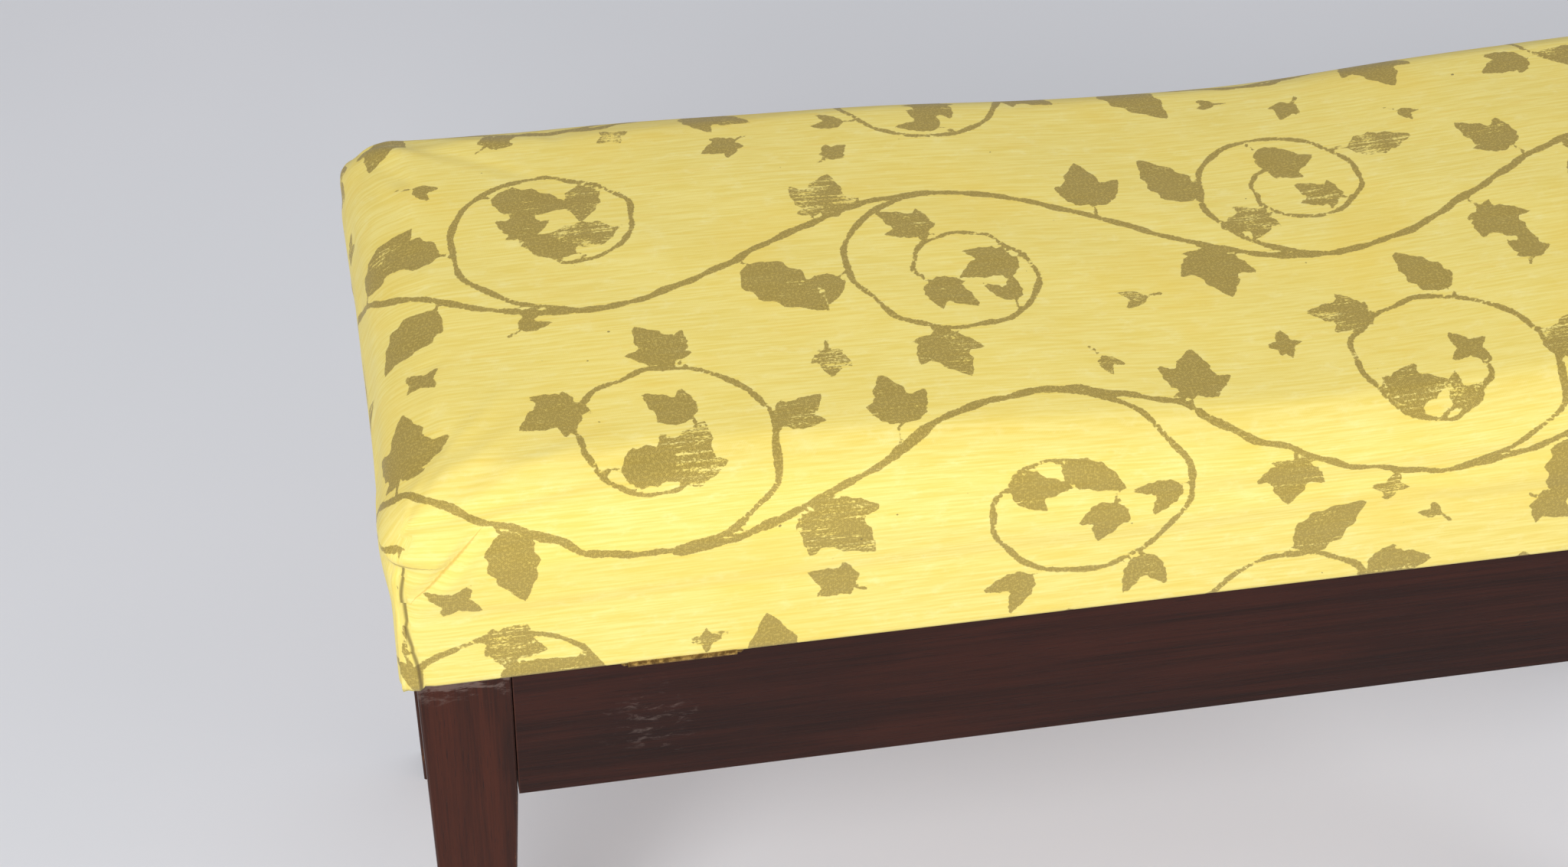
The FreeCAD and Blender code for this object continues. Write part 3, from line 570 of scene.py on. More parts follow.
# %% [markdown]
# Cloth over stuffing can be put through a cloth simulation. It starts about a millimetre inside the wanted
# form, the part that lies on wood is pinned, and pressure swells it for twenty frames against its own
# tension. Left alone it would billow by up to two centimetres, and the stool's cover is pulled tight, so no
# point may end further from its start than the cap. Most free points reach the cap: the form stays the one
# worked out above, and the simulation only makes it a little uneven.

# %% Swell the cover
SWELL_START = 0.0012
SWELL_CAP = 0.0022
SWELL_FRAMES = 20
SWELL_PRESSURE = 4.0
CLOTH_TENSION = 160.0
CLOTH_BENDING = 2.0
FREE_FROM = 0.001
FREE_TO = 0.022
FREE_SHARE = 0.05
cover = bpy.data.objects.new("seat_upholstery", cover_mesh)
scene.collection.objects.link(cover)


def free_of_wood(points):
    return ease(points[:, 2] - LID_Z, BOARD + FREE_FROM, BOARD + FREE_TO)


def add_cloth(piece, loose):
    held = piece.vertex_groups.new(name="on_the_wood")
    for index, share in enumerate(1 - loose):
        if share > 0.01:
            held.add([index], float(share), "REPLACE")
    cloth = piece.modifiers.new("swell", "CLOTH")
    cloth.settings.vertex_group_mass = held.name
    cloth.settings.use_pressure = True
    cloth.settings.uniform_pressure_force = SWELL_PRESSURE
    cloth.settings.quality = 4
    cloth.settings.tension_stiffness = CLOTH_TENSION
    cloth.settings.compression_stiffness = CLOTH_TENSION
    cloth.settings.bending_stiffness = CLOTH_BENDING
    cloth.settings.effector_weights.gravity = 0.0
    cloth.point_cache.frame_end = SWELL_FRAMES
    return cloth, held


def swell_cover(piece, points):
    write_points(piece.data, points)
    loose = free_of_wood(points)
    normals = read_vectors(piece.data.vertex_normals, "vector")
    start = points - normals * (SWELL_START * loose)[:, None]
    write_points(piece.data, start)
    cloth, held = add_cloth(piece, loose)
    for number in range(1, SWELL_FRAMES + 1):
        scene.frame_set(number)
    swollen = piece.evaluated_get(bpy.context.evaluated_depsgraph_get())
    moved = read_vectors(swollen.data.vertices, "co") - start
    piece.modifiers.remove(cloth)
    piece.vertex_groups.remove(held)
    scene.frame_set(1)
    far = np.maximum(np.linalg.norm(moved, axis=1, keepdims=True), 1e-9)
    write_points(piece.data, start + moved * np.minimum(1.0, SWELL_CAP / far))
    return far[loose > FREE_SHARE]


moves = swell_cover(cover, seat_points)
print("cloth would move up to", round(float(moves.max()), 4), "m without the cap")
print("share of free points at the cap", round(float((moves >= SWELL_CAP).mean()), 2))

# %% [markdown]
# One subdivision brings the squares down to 2.5 mm, fine enough for the folds. The modifier could stay on
# the piece, but the folds and the print need real points to work on, so its result becomes the mesh.


# %% Refine the cover
def refined(piece):
    finer = piece.modifiers.new("finer", "SUBSURF")
    finer.levels = 1
    finer.render_levels = 1
    mesh = bpy.data.meshes.new_from_object(piece.evaluated_get(bpy.context.evaluated_depsgraph_get()))
    piece.modifiers.remove(finer)
    old = piece.data
    piece.data = mesh
    bpy.data.meshes.remove(old)
    mesh.name = piece.name
    return mesh


cover_mesh = refined(cover)
places = read_vectors(cover_mesh.attributes["blank_place"].data, "vector")
print("cover", len(cover_mesh.vertices), "points")

# %% [markdown]
# A print belongs to the flat cloth, so every point needs its place there. The top of the box is the cloth's
# middle, and the sides carry on outwards from its edges, so the print runs over the edge unbroken. The
# rolled edge takes less cloth than the square one of the box. At the four corners the end's cloth is folded
# round to the long side, and there the pattern breaks, as it does on the stool.

# %% Lay the cover flat
FOLD_AT = 0.0075
FOLD_SWAY = 0.0028
FOLD_WAVES = 62.0
FOLD_PHASE = 0.6
ROLL_SAVING = 0.30
ON_FACE = 1e-4


def fold_line(depth):
    return FOLD_AT + FOLD_SWAY * np.sin(depth * FOLD_WAVES + FOLD_PHASE)


def flat_cloth(box_points):
    half = np.array([LID_HALF_L, LID_HALF_D])
    edge_gap = half - np.abs(box_points[:, :2])
    drop = SHOULDER - (box_points[:, 2] - LID_Z)
    saved = np.where(edge_gap < ROLL, ROLL_SAVING * (ROLL - edge_gap), 0.0)
    side = np.sign(box_points[:, :2])
    flat = side * (np.abs(box_points[:, :2]) - saved)
    below = drop > ON_FACE
    near_end = edge_gap[:, 0] < edge_gap[:, 1]
    end_side = below & near_end & (edge_gap[:, 0] < ON_FACE)
    long_side = below & ~end_side & (edge_gap[:, 1] < ON_FACE)
    under = below & ~end_side & ~long_side
    tucked = np.where(under, (2 - ROLL_SAVING) * edge_gap.min(axis=1), 0.0)
    wrapped = long_side & (edge_gap[:, 0] < fold_line(drop)) & (drop > 0.5 * RISE)
    to_end = end_side | (under & near_end) | wrapped
    to_long = (long_side | under) & ~to_end
    flat[to_end, 0] += (side[:, 0] * (drop + tucked))[to_end]
    flat[to_long, 1] += (side[:, 1] * (drop + tucked))[to_long]
    flat[wrapped, 1] += (side[:, 1] * edge_gap[:, 0])[wrapped]
    return flat


cloth_flat = flat_cloth(places)
print("cloth spans", np.ptp(cloth_flat, axis=0).round(3))

# %% [markdown]
# Fabric that is pulled tight over a box tells it at the corners. Each corner has a pleat: the end's cloth is
# folded round the corner, its folded edge runs down the long side, and the spare cloth above tucks in under
# a small lip. One deeper crease runs slanting down the side. These are moves of the points along their
# normals, as a sculptor's crease brush would make them.

# %% Pleat, lip and side crease
PLEAT_STEP = 0.0018
PLEAT_START = 0.034
PLEAT_LEAD = 0.002
PLEAT_RUN = 0.010
PLEAT_HOLLOW = 0.004
PLEAT_WRAP = 0.012
LIP_HEIGHT = 0.0036
LIP_REACH = 0.014
LIP_SPREAD = 0.020
LIP_WIDTH = 0.006
TUCK_SHARE = 0.55
TUCK_DROP = 0.003
TUCK_WIDTH = 0.004
SIDE_CREASE = ((0.012, 0.056), (0.046, 0.014))
SIDE_CREASE_DEPTH = 0.0028
SIDE_CREASE_WIDTH = 0.003
RIM_SHARE = 0.6
RIM_GAP = 0.006
RIM_WIDTH = 0.005


def gap_to_line(points, start, end):
    way = np.subtract(end, start)
    t = np.clip(((points - start) @ way) / (way @ way), 0.0, 1.0)
    return np.linalg.norm(points - (start + t[:, None] * way), axis=1), t


def pleat(depth, from_end, from_long, on_end, on_long):
    past_fold = from_end - fold_line(depth)
    flap = np.where(past_fold < 0, PLEAT_STEP, -PLEAT_STEP * bell(past_fold, PLEAT_HOLLOW))
    wrap = PLEAT_STEP * bell(from_long, PLEAT_WRAP)
    push = np.where(on_long, flap, 0.0) + np.where(on_end, wrap, 0.0)
    return push * ease(depth, PLEAT_START - PLEAT_LEAD, PLEAT_START + PLEAT_RUN), past_fold


def lip(depth, reach):
    below = depth - PLEAT_START
    profile = bell(below + LIP_WIDTH, LIP_WIDTH) - TUCK_SHARE * bell(below - TUCK_DROP, TUCK_WIDTH)
    past_lip = below * (1 + (reach / LIP_REACH) ** 4)
    return LIP_HEIGHT * profile * bell(reach, LIP_SPREAD), past_lip


def side_crease(side_points):
    start, end = np.array(SIDE_CREASE)
    gap, along = gap_to_line(side_points, start, end)
    dent = SIDE_CREASE_DEPTH * np.sin(np.pi * (0.1 + 0.8 * along))
    push = dent * (RIM_SHARE * bell(gap - RIM_GAP, RIM_WIDTH) - bell(gap, SIDE_CREASE_WIDTH))
    way = end - start
    across = np.array([-way[1], way[0]]) / np.linalg.norm(way)
    past_middle = 2 * ((side_points - start) @ way) / (way @ way) - 1
    return push, ((side_points - start) @ across) * (1 + 3 * past_middle ** 6)


print("pleats start", PLEAT_START, "below the shoulder")

# %% [markdown]
# The rest of a corner is a fan of soft creases over the top, drawn at random but always alike, because the
# seed is fixed. Beside the push, three values are kept for each point: how far it lies past the fold's edge,
# past the lip and past the side crease. They have a sign, so that they pass through zero on the line itself
# and the shader can paint a thin, unbroken line of shade there, a painted shadow in the fold.

# %% Fold the corners
CORNER_REACH = 0.08
FAR_AWAY = 0.05
CREASES = 6
CREASE_DEPTH = 0.0013
CREASE_TAIL = 0.010
CREASE_LENGTHS = (0.06, 0.15)
CREASE_WIDTHS = (0.003, 0.006)
CREASE_ANGLES = (0.15, 1.35)
LUMP_HEIGHT = 0.0005
WOOD_ROOM = 0.0006
FOLD_LIMIT = 0.004
shaper = random.Random(11)


def corner_creases(flat, sx, sy):
    push = np.zeros(len(flat))
    corner = np.array([sx * LID_HALF_L, sy * LID_HALF_D])
    for _ in range(CREASES):
        angle = shaper.uniform(*CREASE_ANGLES)
        inward = np.array([-sx * math.cos(angle), -sy * math.sin(angle)])
        end = corner + shaper.uniform(*CREASE_LENGTHS) * inward
        gap, along = gap_to_line(flat, corner - CREASE_TAIL * inward, end)
        rise = shaper.choice((-1.0, 0.8)) * shaper.uniform(0.5, 1.0) * CREASE_DEPTH
        profile = bell(gap, shaper.uniform(*CREASE_WIDTHS))
        push += rise * profile * np.sin(np.pi * (0.08 + 0.84 * along))
    return push


def corner_folds(box_points, flat):
    push = np.zeros(len(box_points))
    fold_gap, lip_gap, crease_gap = (np.full(len(box_points), FAR_AWAY) for _ in range(3))
    depth = SHOULDER - (box_points[:, 2] - LID_Z)
    pleated = depth > PLEAT_START
    for sx, sy in EARS:
        from_end = LID_HALF_L - sx * box_points[:, 0]
        from_long = LID_HALF_D - sy * box_points[:, 1]
        reach = np.hypot(from_end, from_long)
        on_end = from_end < ON_FACE
        on_long = (from_long < ON_FACE) & (from_end < CORNER_REACH)
        pleat_push, past_fold = pleat(depth, from_end, from_long, on_end, on_long)
        lip_push, past_lip = lip(depth, reach)
        crease_push, past_crease = side_crease(np.column_stack([from_end, depth]))
        push += pleat_push + lip_push + np.where(on_long, crease_push, 0.0)
        push += corner_creases(flat, sx, sy)
        fold_gap = np.where(on_end & pleated, -FAR_AWAY, fold_gap)
        fold_gap = np.where(on_long & pleated, past_fold, fold_gap)
        lip_gap = np.where(reach < FAR_AWAY, past_lip, lip_gap)
        crease_gap = np.where(on_long, past_crease, crease_gap)
    return push, {"fold_gap": fold_gap, "lip_gap": lip_gap, "crease_gap": crease_gap}


def soft_lumps(points):
    x, y = points[:, 0], points[:, 1]
    wave = np.sin(x * 31 + 2 * np.sin(y * 17)) * np.sin(y * 43 + x * 9)
    return LUMP_HEIGHT * wave * free_of_wood(points)


points = read_vectors(cover_mesh.vertices, "co")
normals = read_vectors(cover_mesh.vertex_normals, "vector")
push, fold_lines = corner_folds(places, cloth_flat)
push += soft_lumps(points)
push = np.maximum(push, -WOOD_ROOM - FOLD_LIMIT * free_of_wood(points))
write_points(cover_mesh, points + normals * push[:, None])
print("folds push", round(push.min() * 1000, 2), "to", round(push.max() * 1000, 2), "mm")

# %% [markdown]
# The cotton is hand printed with a running scroll: wavy stems along the cloth, with a spiral in each hollow
# and leaves on short stalks. An image could carry it, but would blur close up, so the scroll is drawn by
# rule on the flat cloth. A stem is a row of close points with a half width each, and a leaf a place, a
# direction, a size, a style and a dryness. A hand-cut block never prints an even line, so each stem wanders
# by a millimetre or two, and its width swells by up to about a quarter. Both are two waves of different
# size and rate along the stem.

# %% Stems and leaves
STEM_HALF = 0.0020
STEM_LEAST = 0.0007
STEM_STEP = 0.0012
STEM_WOBBLE = ((0.0011, 95), (0.0008, 210))
STEM_SWELL = ((0.14, 140), (0.13, 370))
drawing = random.Random(23)
stem_points = []
leaves = []


def wavering(waves, run, phases):
    return sum(size * math.sin(run * rate + phase) for (size, rate), phase in zip(waves, phases))


def draw_stem(path, width, taper):
    sway = [drawing.uniform(0, 6.28) for _ in range(3)]
    for i, (x, y) in enumerate(path):
        share = i / max(1, len(path) - 1)
        run = i * STEM_STEP
        wobble = wavering(STEM_WOBBLE, run, (sway[0], sway[1]))
        swell = 1 + wavering(STEM_SWELL, run, (sway[2], sway[0]))
        half = width * swell * (1 - taper * share)
        stem_points.append((x + wobble, y + wobble * math.cos(sway[1]), max(STEM_LEAST, half)))


def draw_leaf(x, y, angle, size, style, stalk):
    bend = drawing.uniform(-0.35, 0.35)
    ahead_x = math.cos(angle)
    ahead_y = math.sin(angle)
    path = []
    for i in range(int(stalk / STEM_STEP) + 1):
        t = i * STEM_STEP / max(stalk, STEM_STEP)
        bow = bend * stalk * math.sin(math.pi * t) * 0.5
        path.append((x + stalk * t * ahead_x - bow * ahead_y, y + stalk * t * ahead_y + bow * ahead_x))
    draw_stem(path, 0.6 * STEM_HALF, 0.2)
    dryness = drawing.uniform(0.0, 1.0)
    leaves.append((x + stalk * ahead_x, y + stalk * ahead_y, angle + bend, size, style, dryness))


def path_between(point_at, length):
    count = int(length / STEM_STEP)
    return [point_at(i / count) for i in range(count + 1)]


print("stems are drawn in steps of", STEM_STEP)

# %% [markdown]
# Each row is one long wave. At every crest and trough a spiral leaves the stem and curls into the hollow,
# with leaves inside and outside of it, and two larger leaves stand on the stem beside it. Neighbouring rows
# run opposite ways and are shifted by half a wave, so that the spirals of one fill the gaps of the next.

# %% Spirals and rows
ROW_GAP = 0.182
ROW_SHIFT = 0.012
WAVE_LENGTH = 0.430
WAVE_HEIGHT = 0.042
SPIRAL_RADIUS = 0.074
SPIRAL_TURNS = (1.22, 1.45)
SPIRAL_LEAVES = (0.16, 0.31, 0.45, 0.60, 0.76)
ROW_LEAVES = (-0.21, 0.17)
LEAF_SIZES = {
    "spiral": (0.030, 0.043),
    "tip": (0.026, 0.033),
    "row": (0.034, 0.046),
    "sprig": (0.016, 0.026),
}
STALKS = {"spiral": (0.006, 0.013), "row": (0.008, 0.018)}
CLOTH_HALF = (0.62, 0.36)


def heading(start, end):
    return math.atan2(end[1] - start[1], end[0] - start[0])


def draw_spiral(x, y, radius, start, hand, turns):
    def spiral(t):
        shrink = radius * (1 - 0.72 * t ** 0.85)
        angle = start + hand * turns * 2 * math.pi * t
        return (x + shrink * math.cos(angle), y + shrink * math.sin(angle))

    length = 2 * math.pi * radius * turns * 0.66
    draw_stem(path_between(spiral, length), 1.05 * STEM_HALF, 0.35)
    for t in SPIRAL_LEAVES:
        at = t + drawing.uniform(-0.03, 0.03)
        inner_chance = 0.35 if at < 0.5 else 0.75
        side = hand if drawing.random() < inner_chance else -hand
        angle = heading(spiral(at), spiral(at + 0.01)) + side * drawing.uniform(0.6, 1.25)
        size = drawing.uniform(*LEAF_SIZES["spiral"]) * (1 - 0.22 * at)
        style = drawing.choice(("ivy", "split", "lance", "bud"))
        draw_leaf(*spiral(at), angle, size, style, drawing.uniform(*STALKS["spiral"]))
    size = drawing.uniform(*LEAF_SIZES["tip"])
    style = drawing.choice(("ivy", "petals", "split"))
    leaves.append((*spiral(1.0), heading(spiral(0.97), spiral(1.0)), size, style, 0.4))


def draw_row(middle, phase, flow):
    def height_at(x):
        return middle + WAVE_HEIGHT * math.sin(2 * math.pi * (flow * x - phase) / WAVE_LENGTH)

    def wave(t):
        x = -CLOTH_HALF[0] + 2 * CLOTH_HALF[0] * t
        return (x, height_at(x))

    draw_stem(path_between(wave, 2.3 * CLOTH_HALF[0]), 1.2 * STEM_HALF, 0.0)
    halves = int(4 * CLOTH_HALF[0] / WAVE_LENGTH) + 2
    for k in range(-halves, halves):
        crest_x = flow * (phase + WAVE_LENGTH * (0.25 + 0.5 * k))
        if abs(crest_x) > CLOTH_HALF[0]:
            continue
        side = 1 if k % 2 == 0 else -1
        radius = SPIRAL_RADIUS * drawing.uniform(0.92, 1.08)
        spiral_y = middle + side * WAVE_HEIGHT - side * radius
        turns = drawing.uniform(*SPIRAL_TURNS)
        draw_spiral(crest_x, spiral_y, radius, side * math.pi / 2, -side * flow, turns)
        for offset in ROW_LEAVES:
            x = crest_x + flow * offset * WAVE_LENGTH
            angle = side * (math.pi / 2 + drawing.uniform(-0.7, 0.7))
            size = drawing.uniform(*LEAF_SIZES["row"])
            style = drawing.choice(("ivy", "split", "lance"))
            draw_leaf(x, height_at(x), angle, size, style, drawing.uniform(*STALKS["row"]))


for row in range(-2, 3):
    phase = drawing.uniform(-0.06, 0.06) + row * 0.5 * WAVE_LENGTH
    draw_row(row * ROW_GAP + ROW_SHIFT, phase, 1 if row % 2 else -1)
print("rows", len(stem_points), "stem points", len(leaves), "leaves")

# %% [markdown]
# A printer fills bare places with small sprigs. Here places are tried at random, and one is kept where it
# lies far enough from every stem and leaf.

# %% Fill the gaps
GAP_TO_STEM = 0.019
GAP_TO_LEAF = 0.046
SPRIG_STALK = 0.010
SPRIG_TRIES = 900


def stem_tree():
    tree = KDTree(len(stem_points))
    for i, (x, y, _) in enumerate(stem_points):
        tree.insert((x, y, 0.0), i)
    tree.balance()
    return tree


def fill_gaps():
    stems = stem_tree()
    for _ in range(SPRIG_TRIES):
        x = drawing.uniform(-CLOTH_HALF[0], CLOTH_HALF[0])
        y = drawing.uniform(-CLOTH_HALF[1], CLOTH_HALF[1])
        beside_leaf = min(math.hypot(x - leaf[0], y - leaf[1]) for leaf in leaves) < GAP_TO_LEAF
        if stems.find((x, y, 0.0))[2] > GAP_TO_STEM and not beside_leaf:
            angle = drawing.uniform(0, 2 * math.pi)
            size = drawing.uniform(*LEAF_SIZES["sprig"])
            draw_leaf(x, y, angle, size, drawing.choice(("ivy", "bud", "petals")), SPRIG_STALK)


fill_gaps()
print("scroll", len(stem_points), "stem points", len(leaves), "leaves")

# %% [markdown]
# For each point of the cover the script now works out how far it lies from the nearest printed edge, less
# than zero inside. The shader cuts that distance off sharply, so edges stay crisp between the points. A leaf
# is a few lobes round one spot, each with an angle, a length and a width, and with a toothed outline.

# %% Measure the print
LEAF_STYLES = {
    "ivy": ((0, 1.0, 0.36), (46, 0.78, 0.30), (-52, 0.70, 0.30), (112, 0.40, 0.30), (-104, 0.36, 0.30)),
    "split": ((6, 1.05, 0.32), (-36, 0.80, 0.30), (52, 0.62, 0.30), (20, 0.7, 0.3)),
    "lance": ((0, 1.30, 0.32), (22, 0.74, 0.26), (-30, 0.56, 0.26)),
    "bud": ((26, 0.72, 0.25), (-26, 0.72, 0.25), (0, 0.42, 0.26)),
    "petals": ((0, 0.62, 0.34), (95, 0.58, 0.32), (185, 0.60, 0.34), (272, 0.52, 0.32)),
}
LEAF_REACH = 1.6
LOBE_FULLNESS = 2.3
TOOTH_DEPTH = 0.10
TOOTH_RATE = 26
PRINT_RANGE = 0.01


def leaf_distance(flat, leaf):
    x, y, angle, size, style, _ = leaf
    best = np.full(len(flat), 1.0)
    for lobe_angle, length, width in LEAF_STYLES[style]:
        turn = angle + math.radians(lobe_angle)
        along = ((flat[:, 0] - x) * math.cos(turn) + (flat[:, 1] - y) * math.sin(turn)) / (size * length)
        side = ((flat[:, 1] - y) * math.cos(turn) - (flat[:, 0] - x) * math.sin(turn)) / (size * length)
        t = np.clip(along, 0.0, 1.0)
        teeth = 1 + TOOTH_DEPTH * np.sin(TOOTH_RATE * t + 3 * np.sign(side))
        half = LOBE_FULLNESS * width * np.sqrt(t) * (1 - t) * teeth
        inside = (np.abs(side) - half) * size * length
        beyond = np.hypot(along - t, side) * size * length
        best = np.minimum(best, np.where((along > 0) & (along < 1), inside, beyond))
    return best


def print_map(flat):
    stems = stem_tree()
    edge = np.empty(len(flat))
    for i, (x, y) in enumerate(flat):
        _, nearest, gap = stems.find((x, y, 0.0))
        edge[i] = gap - stem_points[nearest][2]
    dry = 0.25 + 0.2 * np.sin(flat[:, 0] * 23 + 1.3) * np.sin(flat[:, 1] * 29)
    for leaf in leaves:
        apart = np.hypot(flat[:, 0] - leaf[0], flat[:, 1] - leaf[1])
        close = np.flatnonzero(apart < LEAF_REACH * leaf[3])
        gap = leaf_distance(flat[close], leaf)
        dry[close] = np.where(gap < edge[close], leaf[5], dry[close])
        edge[close] = np.minimum(edge[close], gap)
    return np.clip(edge, -PRINT_RANGE, PRINT_RANGE), dry


print_edge, print_dry = print_map(cloth_flat)
cloth_places = np.column_stack([cloth_flat, np.zeros(len(cloth_flat))])
point_values = {"print_edge": print_edge, "print_dry": print_dry, **fold_lines, "cloth": cloth_places}
for name, values in point_values.items():
    keep_on_points(cover_mesh, name, values)
print("printed share", round(float((print_edge < 0).mean()), 3))

# %% [markdown]
# The cotton itself is a slubby plain weave: thick and thin threads run along the stool as fine pale and deep
# yellow streaks. The print is a gold-olive paste, a little metallic, that missed the low threads in places.
# Three functions give the dyed ground, where the paste took, and the paste's colour.

# %% Cotton and print colours
PASTE_EDGE = 0.00025
PASTE_FRAY = 0.0022


def point_value(tree, name):
    return add(tree, "ShaderNodeAttribute", attribute_name=name).outputs["Fac"]


def dyed_ground(tree, cloth, slub):
    streak = stretched_noise(tree, cloth, (17.0, 125.0, 1.0), 4.0, 0.6, place=(3.1, 1.7, 0.0))
    mottle = stretched_noise(tree, cloth, (60.0, 110.0, 1.0), 5.0, 0.7, place=(7.7, 2.3, 0.0))
    broad = noise(tree, cloth, 11.0, 3.0, 0.5)
    threads = step_between(tree, slub, 0.32, 0.68)
    colour = blend_colours(tree, threads, paint(239, 215, 104), paint(247, 229, 133))
    colour = tint(tree, colour, step_between(tree, streak, 0.54, 0.78), 0.34, paint(239, 200, 72))
    colour = tint(tree, colour, step_between(tree, mottle, 0.50, 0.74), 0.5, paint(250, 238, 160))
    return tint(tree, colour, step_between(tree, broad, 0.48, 0.72), 0.38, paint(243, 210, 84))


def paste_taken(tree, cloth, weave, patchy):
    fray = calc(tree, "SUBTRACT", noise(tree, cloth, 420.0, 3.0, 0.6), 0.5)
    ragged = plus_share(tree, point_value(tree, "print_edge"), fray, PASTE_FRAY)
    inked = step_between(tree, ragged, PASTE_EDGE, -PASTE_EDGE)
    speckle = stretched_noise(tree, cloth, (500.0, 900.0, 1.0), 2.0, 0.7)
    brushed = stretched_noise(tree, cloth, (26.0, 520.0, 1.0), 3.0, 0.6, place=(0.4, 5.2, 0.0))
    missed = plus_share(tree, calc(tree, "MULTIPLY", speckle, 0.45), brushed, 0.45)
    missed = plus_share(tree, missed, patchy, 0.30)
    limit = plus_share(tree, 0.80, point_value(tree, "print_dry"), -0.17)
    taken = step_between(tree, calc(tree, "SUBTRACT", missed, limit), 0.05, -0.03)
    pinholes = plus_share(tree, 0.5, step_between(tree, weave["Height"], 0.10, 0.42), 0.5)
    return calc(tree, "MULTIPLY", calc(tree, "MULTIPLY", inked, taken), pinholes)


def gold_paste(tree, cloth, weave, patchy):
    gold = blend_colours(tree, weave["Over"], paint(146, 122, 48), paint(168, 144, 62))
    gold = blend_colours(tree, step_between(tree, patchy, 0.3, 0.7), gold, paint(154, 130, 50))
    grains = step_between(tree, noise(tree, cloth, 760.0, 1.0, 0.5), 0.48, 0.66)
    return tint(tree, gold, grains, 0.6, paint(200, 174, 82))


print("paste edge fades over", 2 * PASTE_EDGE)

# %% [markdown]
# The finish lays paste over ground, then painted shade along the three fold lines, then a few dark specks.
# Each fold line has its own width and strength of painted shade, because a pleat's slit lies in deeper
# shade than a crease. The piece then hides the solid cover and stuffing, and rides on the lid.

# %% Printed cotton
THREADS = 1500.0
SLUB_STRETCH = (30.0, 560.0, 1.0)
LINE_HEART = 0.0002
# Painted shadows along the fold lines: for each, its attribute, half width, strength and shade colour.
PAINTED_FOLD_SHADOWS = (
    ("fold_gap", 0.0015, 0.75, (104, 84, 34)),
    ("lip_gap", 0.0018, 0.60, (140, 112, 44)),
    ("crease_gap", 0.0012, 0.50, (212, 160, 52)),
)


def printed_cotton():
    material, tree, shader, _ = new_finish("printed_cotton", Sheen_Weight=0.08, Sheen_Roughness=0.6)
    cloth = add(tree, "ShaderNodeAttribute", attribute_name="cloth").outputs["Vector"]
    slub = stretched_noise(tree, cloth, SLUB_STRETCH, 4.0, 0.6)
    patchy = noise(tree, cloth, 70.0, 2.0, 0.5)
    weave = use_group(tree, plain_weave, {"Vector": cloth, "Threads": THREADS})
    paste = paste_taken(tree, cloth, weave, patchy)
    ground = dyed_ground(tree, cloth, slub)
    colour = tint(tree, ground, paste, 0.95, gold_paste(tree, cloth, weave, patchy))
    # Painted shade: the colour darkens along each fold line, where the fold would lie in shadow.
    for line, half_width, strength, shade in PAINTED_FOLD_SHADOWS:
        gap = calc(tree, "ABSOLUTE", point_value(tree, line))
        painted_shade = step_between(tree, gap, half_width, LINE_HEART)
        colour = tint(tree, colour, painted_shade, strength, paint(*shade))
    specks = step_between(tree, noise(tree, cloth, 210.0, 1.0, 0.4), 0.80, 0.83)
    feed(tree, shader.inputs["Base Color"], tint(tree, colour, specks, 0.7, paint(96, 78, 44)))
    feed(tree, shader.inputs["Metallic"], calc(tree, "MULTIPLY", paste, 0.14))
    feed(tree, shader.inputs["Roughness"], plus_share(tree, 0.86, paste, -0.24))
    under = raise_bumps(tree, shader, slub, 0.00012, 0.3)
    raise_bumps(tree, shader, weave["Height"], 0.00012, 0.25, under)
    return material


cover_mesh.materials.clear()
cover_mesh.materials.append(printed_cotton())
cover_mesh.polygons.foreach_set("use_smooth", np.ones(len(cover_mesh.polygons), dtype=bool))
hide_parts("seat_cover", "seat_pad")
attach(cover, "lid")
print("cover faces", len(cover_mesh.polygons))

# %% [markdown]
# Under the lid a plain cotton lining hides jute webbing and hessian. All are plain weave in one colour that
# varies from thread to thread, with a few stains, so one function gives both finishes. Webbing and hessian
# are flat and hidden, so they keep their solids.


# %% Plain cloths
def woven_cloth(name, light, dark, threads, rough):
    material, tree, shader, object_space = new_finish(name, Sheen_Weight=0.1, Sheen_Roughness=0.6)
    weave = use_group(tree, plain_weave, {"Vector": object_space, "Threads": threads})
    uneven = stretched_noise(tree, object_space, (14.0, 0.4 * threads, 14.0), 4.0, 0.6)
    stain = step_between(tree, noise(tree, object_space, 8.0, 5.0, 0.65), 0.48, 0.75)
    tone = plus_share(tree, calc(tree, "MULTIPLY", uneven, 0.6), weave["Height"], 0.4)
    colour = blend_colours(tree, step_between(tree, tone, 0.25, 0.75), dark, light)
    feed(tree, shader.inputs["Base Color"], tint(tree, colour, stain, 0.35, dark))
    feed(tree, shader.inputs["Roughness"], plus_share(tree, rough, uneven, 0.1))
    raise_bumps(tree, shader, weave["Height"], 0.0003, 0.5)
    return material


lining_cloth = woven_cloth("lining_cotton", paint(222, 212, 188), paint(176, 164, 136), 900.0, 0.8)
jute_cloth = woven_cloth("jute", paint(186, 152, 104), paint(122, 92, 58), 420.0, 0.82)
for name in ("hessian", "webbing_cross", "webbing_long"):
    nodes[name].data.materials[0] = jute_cloth
print("cloths", lining_cloth.name, jute_cloth.name)

# %% [markdown]
# The lining is a thin sheet, stretched under the lid frame and tacked all round. A cloth simulation would
# leave it almost flat, so it is a grid whose points are moved in code. Its edge dips in waves of 0.7 mm,
# about one to each gap between the tacks of a long side; a short end dips evenly. The waves fade towards the
# middle, and a slack of 0.2 mm is left there. A Solidify modifier gives thickness, up towards the frame.

# %% Lining
LINING_STEP = 0.008
LINING_THICK = 0.0006
PUCKER = 0.0007
PUCKER_GAP = 0.0746
PUCKER_FADE = 0.02
SLACK_SHARE = 0.3
lining_low, lining_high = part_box("lid_lining")
lining_size = lining_high - lining_low


def lining_pucker(x, y):
    near_edge = min(lining_high.x - abs(x), lining_high.y - abs(y))
    wave = abs(math.sin(math.pi * x / PUCKER_GAP)) * math.exp(-near_edge / PUCKER_FADE)
    return -PUCKER * (wave + SLACK_SHARE * math.sin(9 * x + 21 * y))


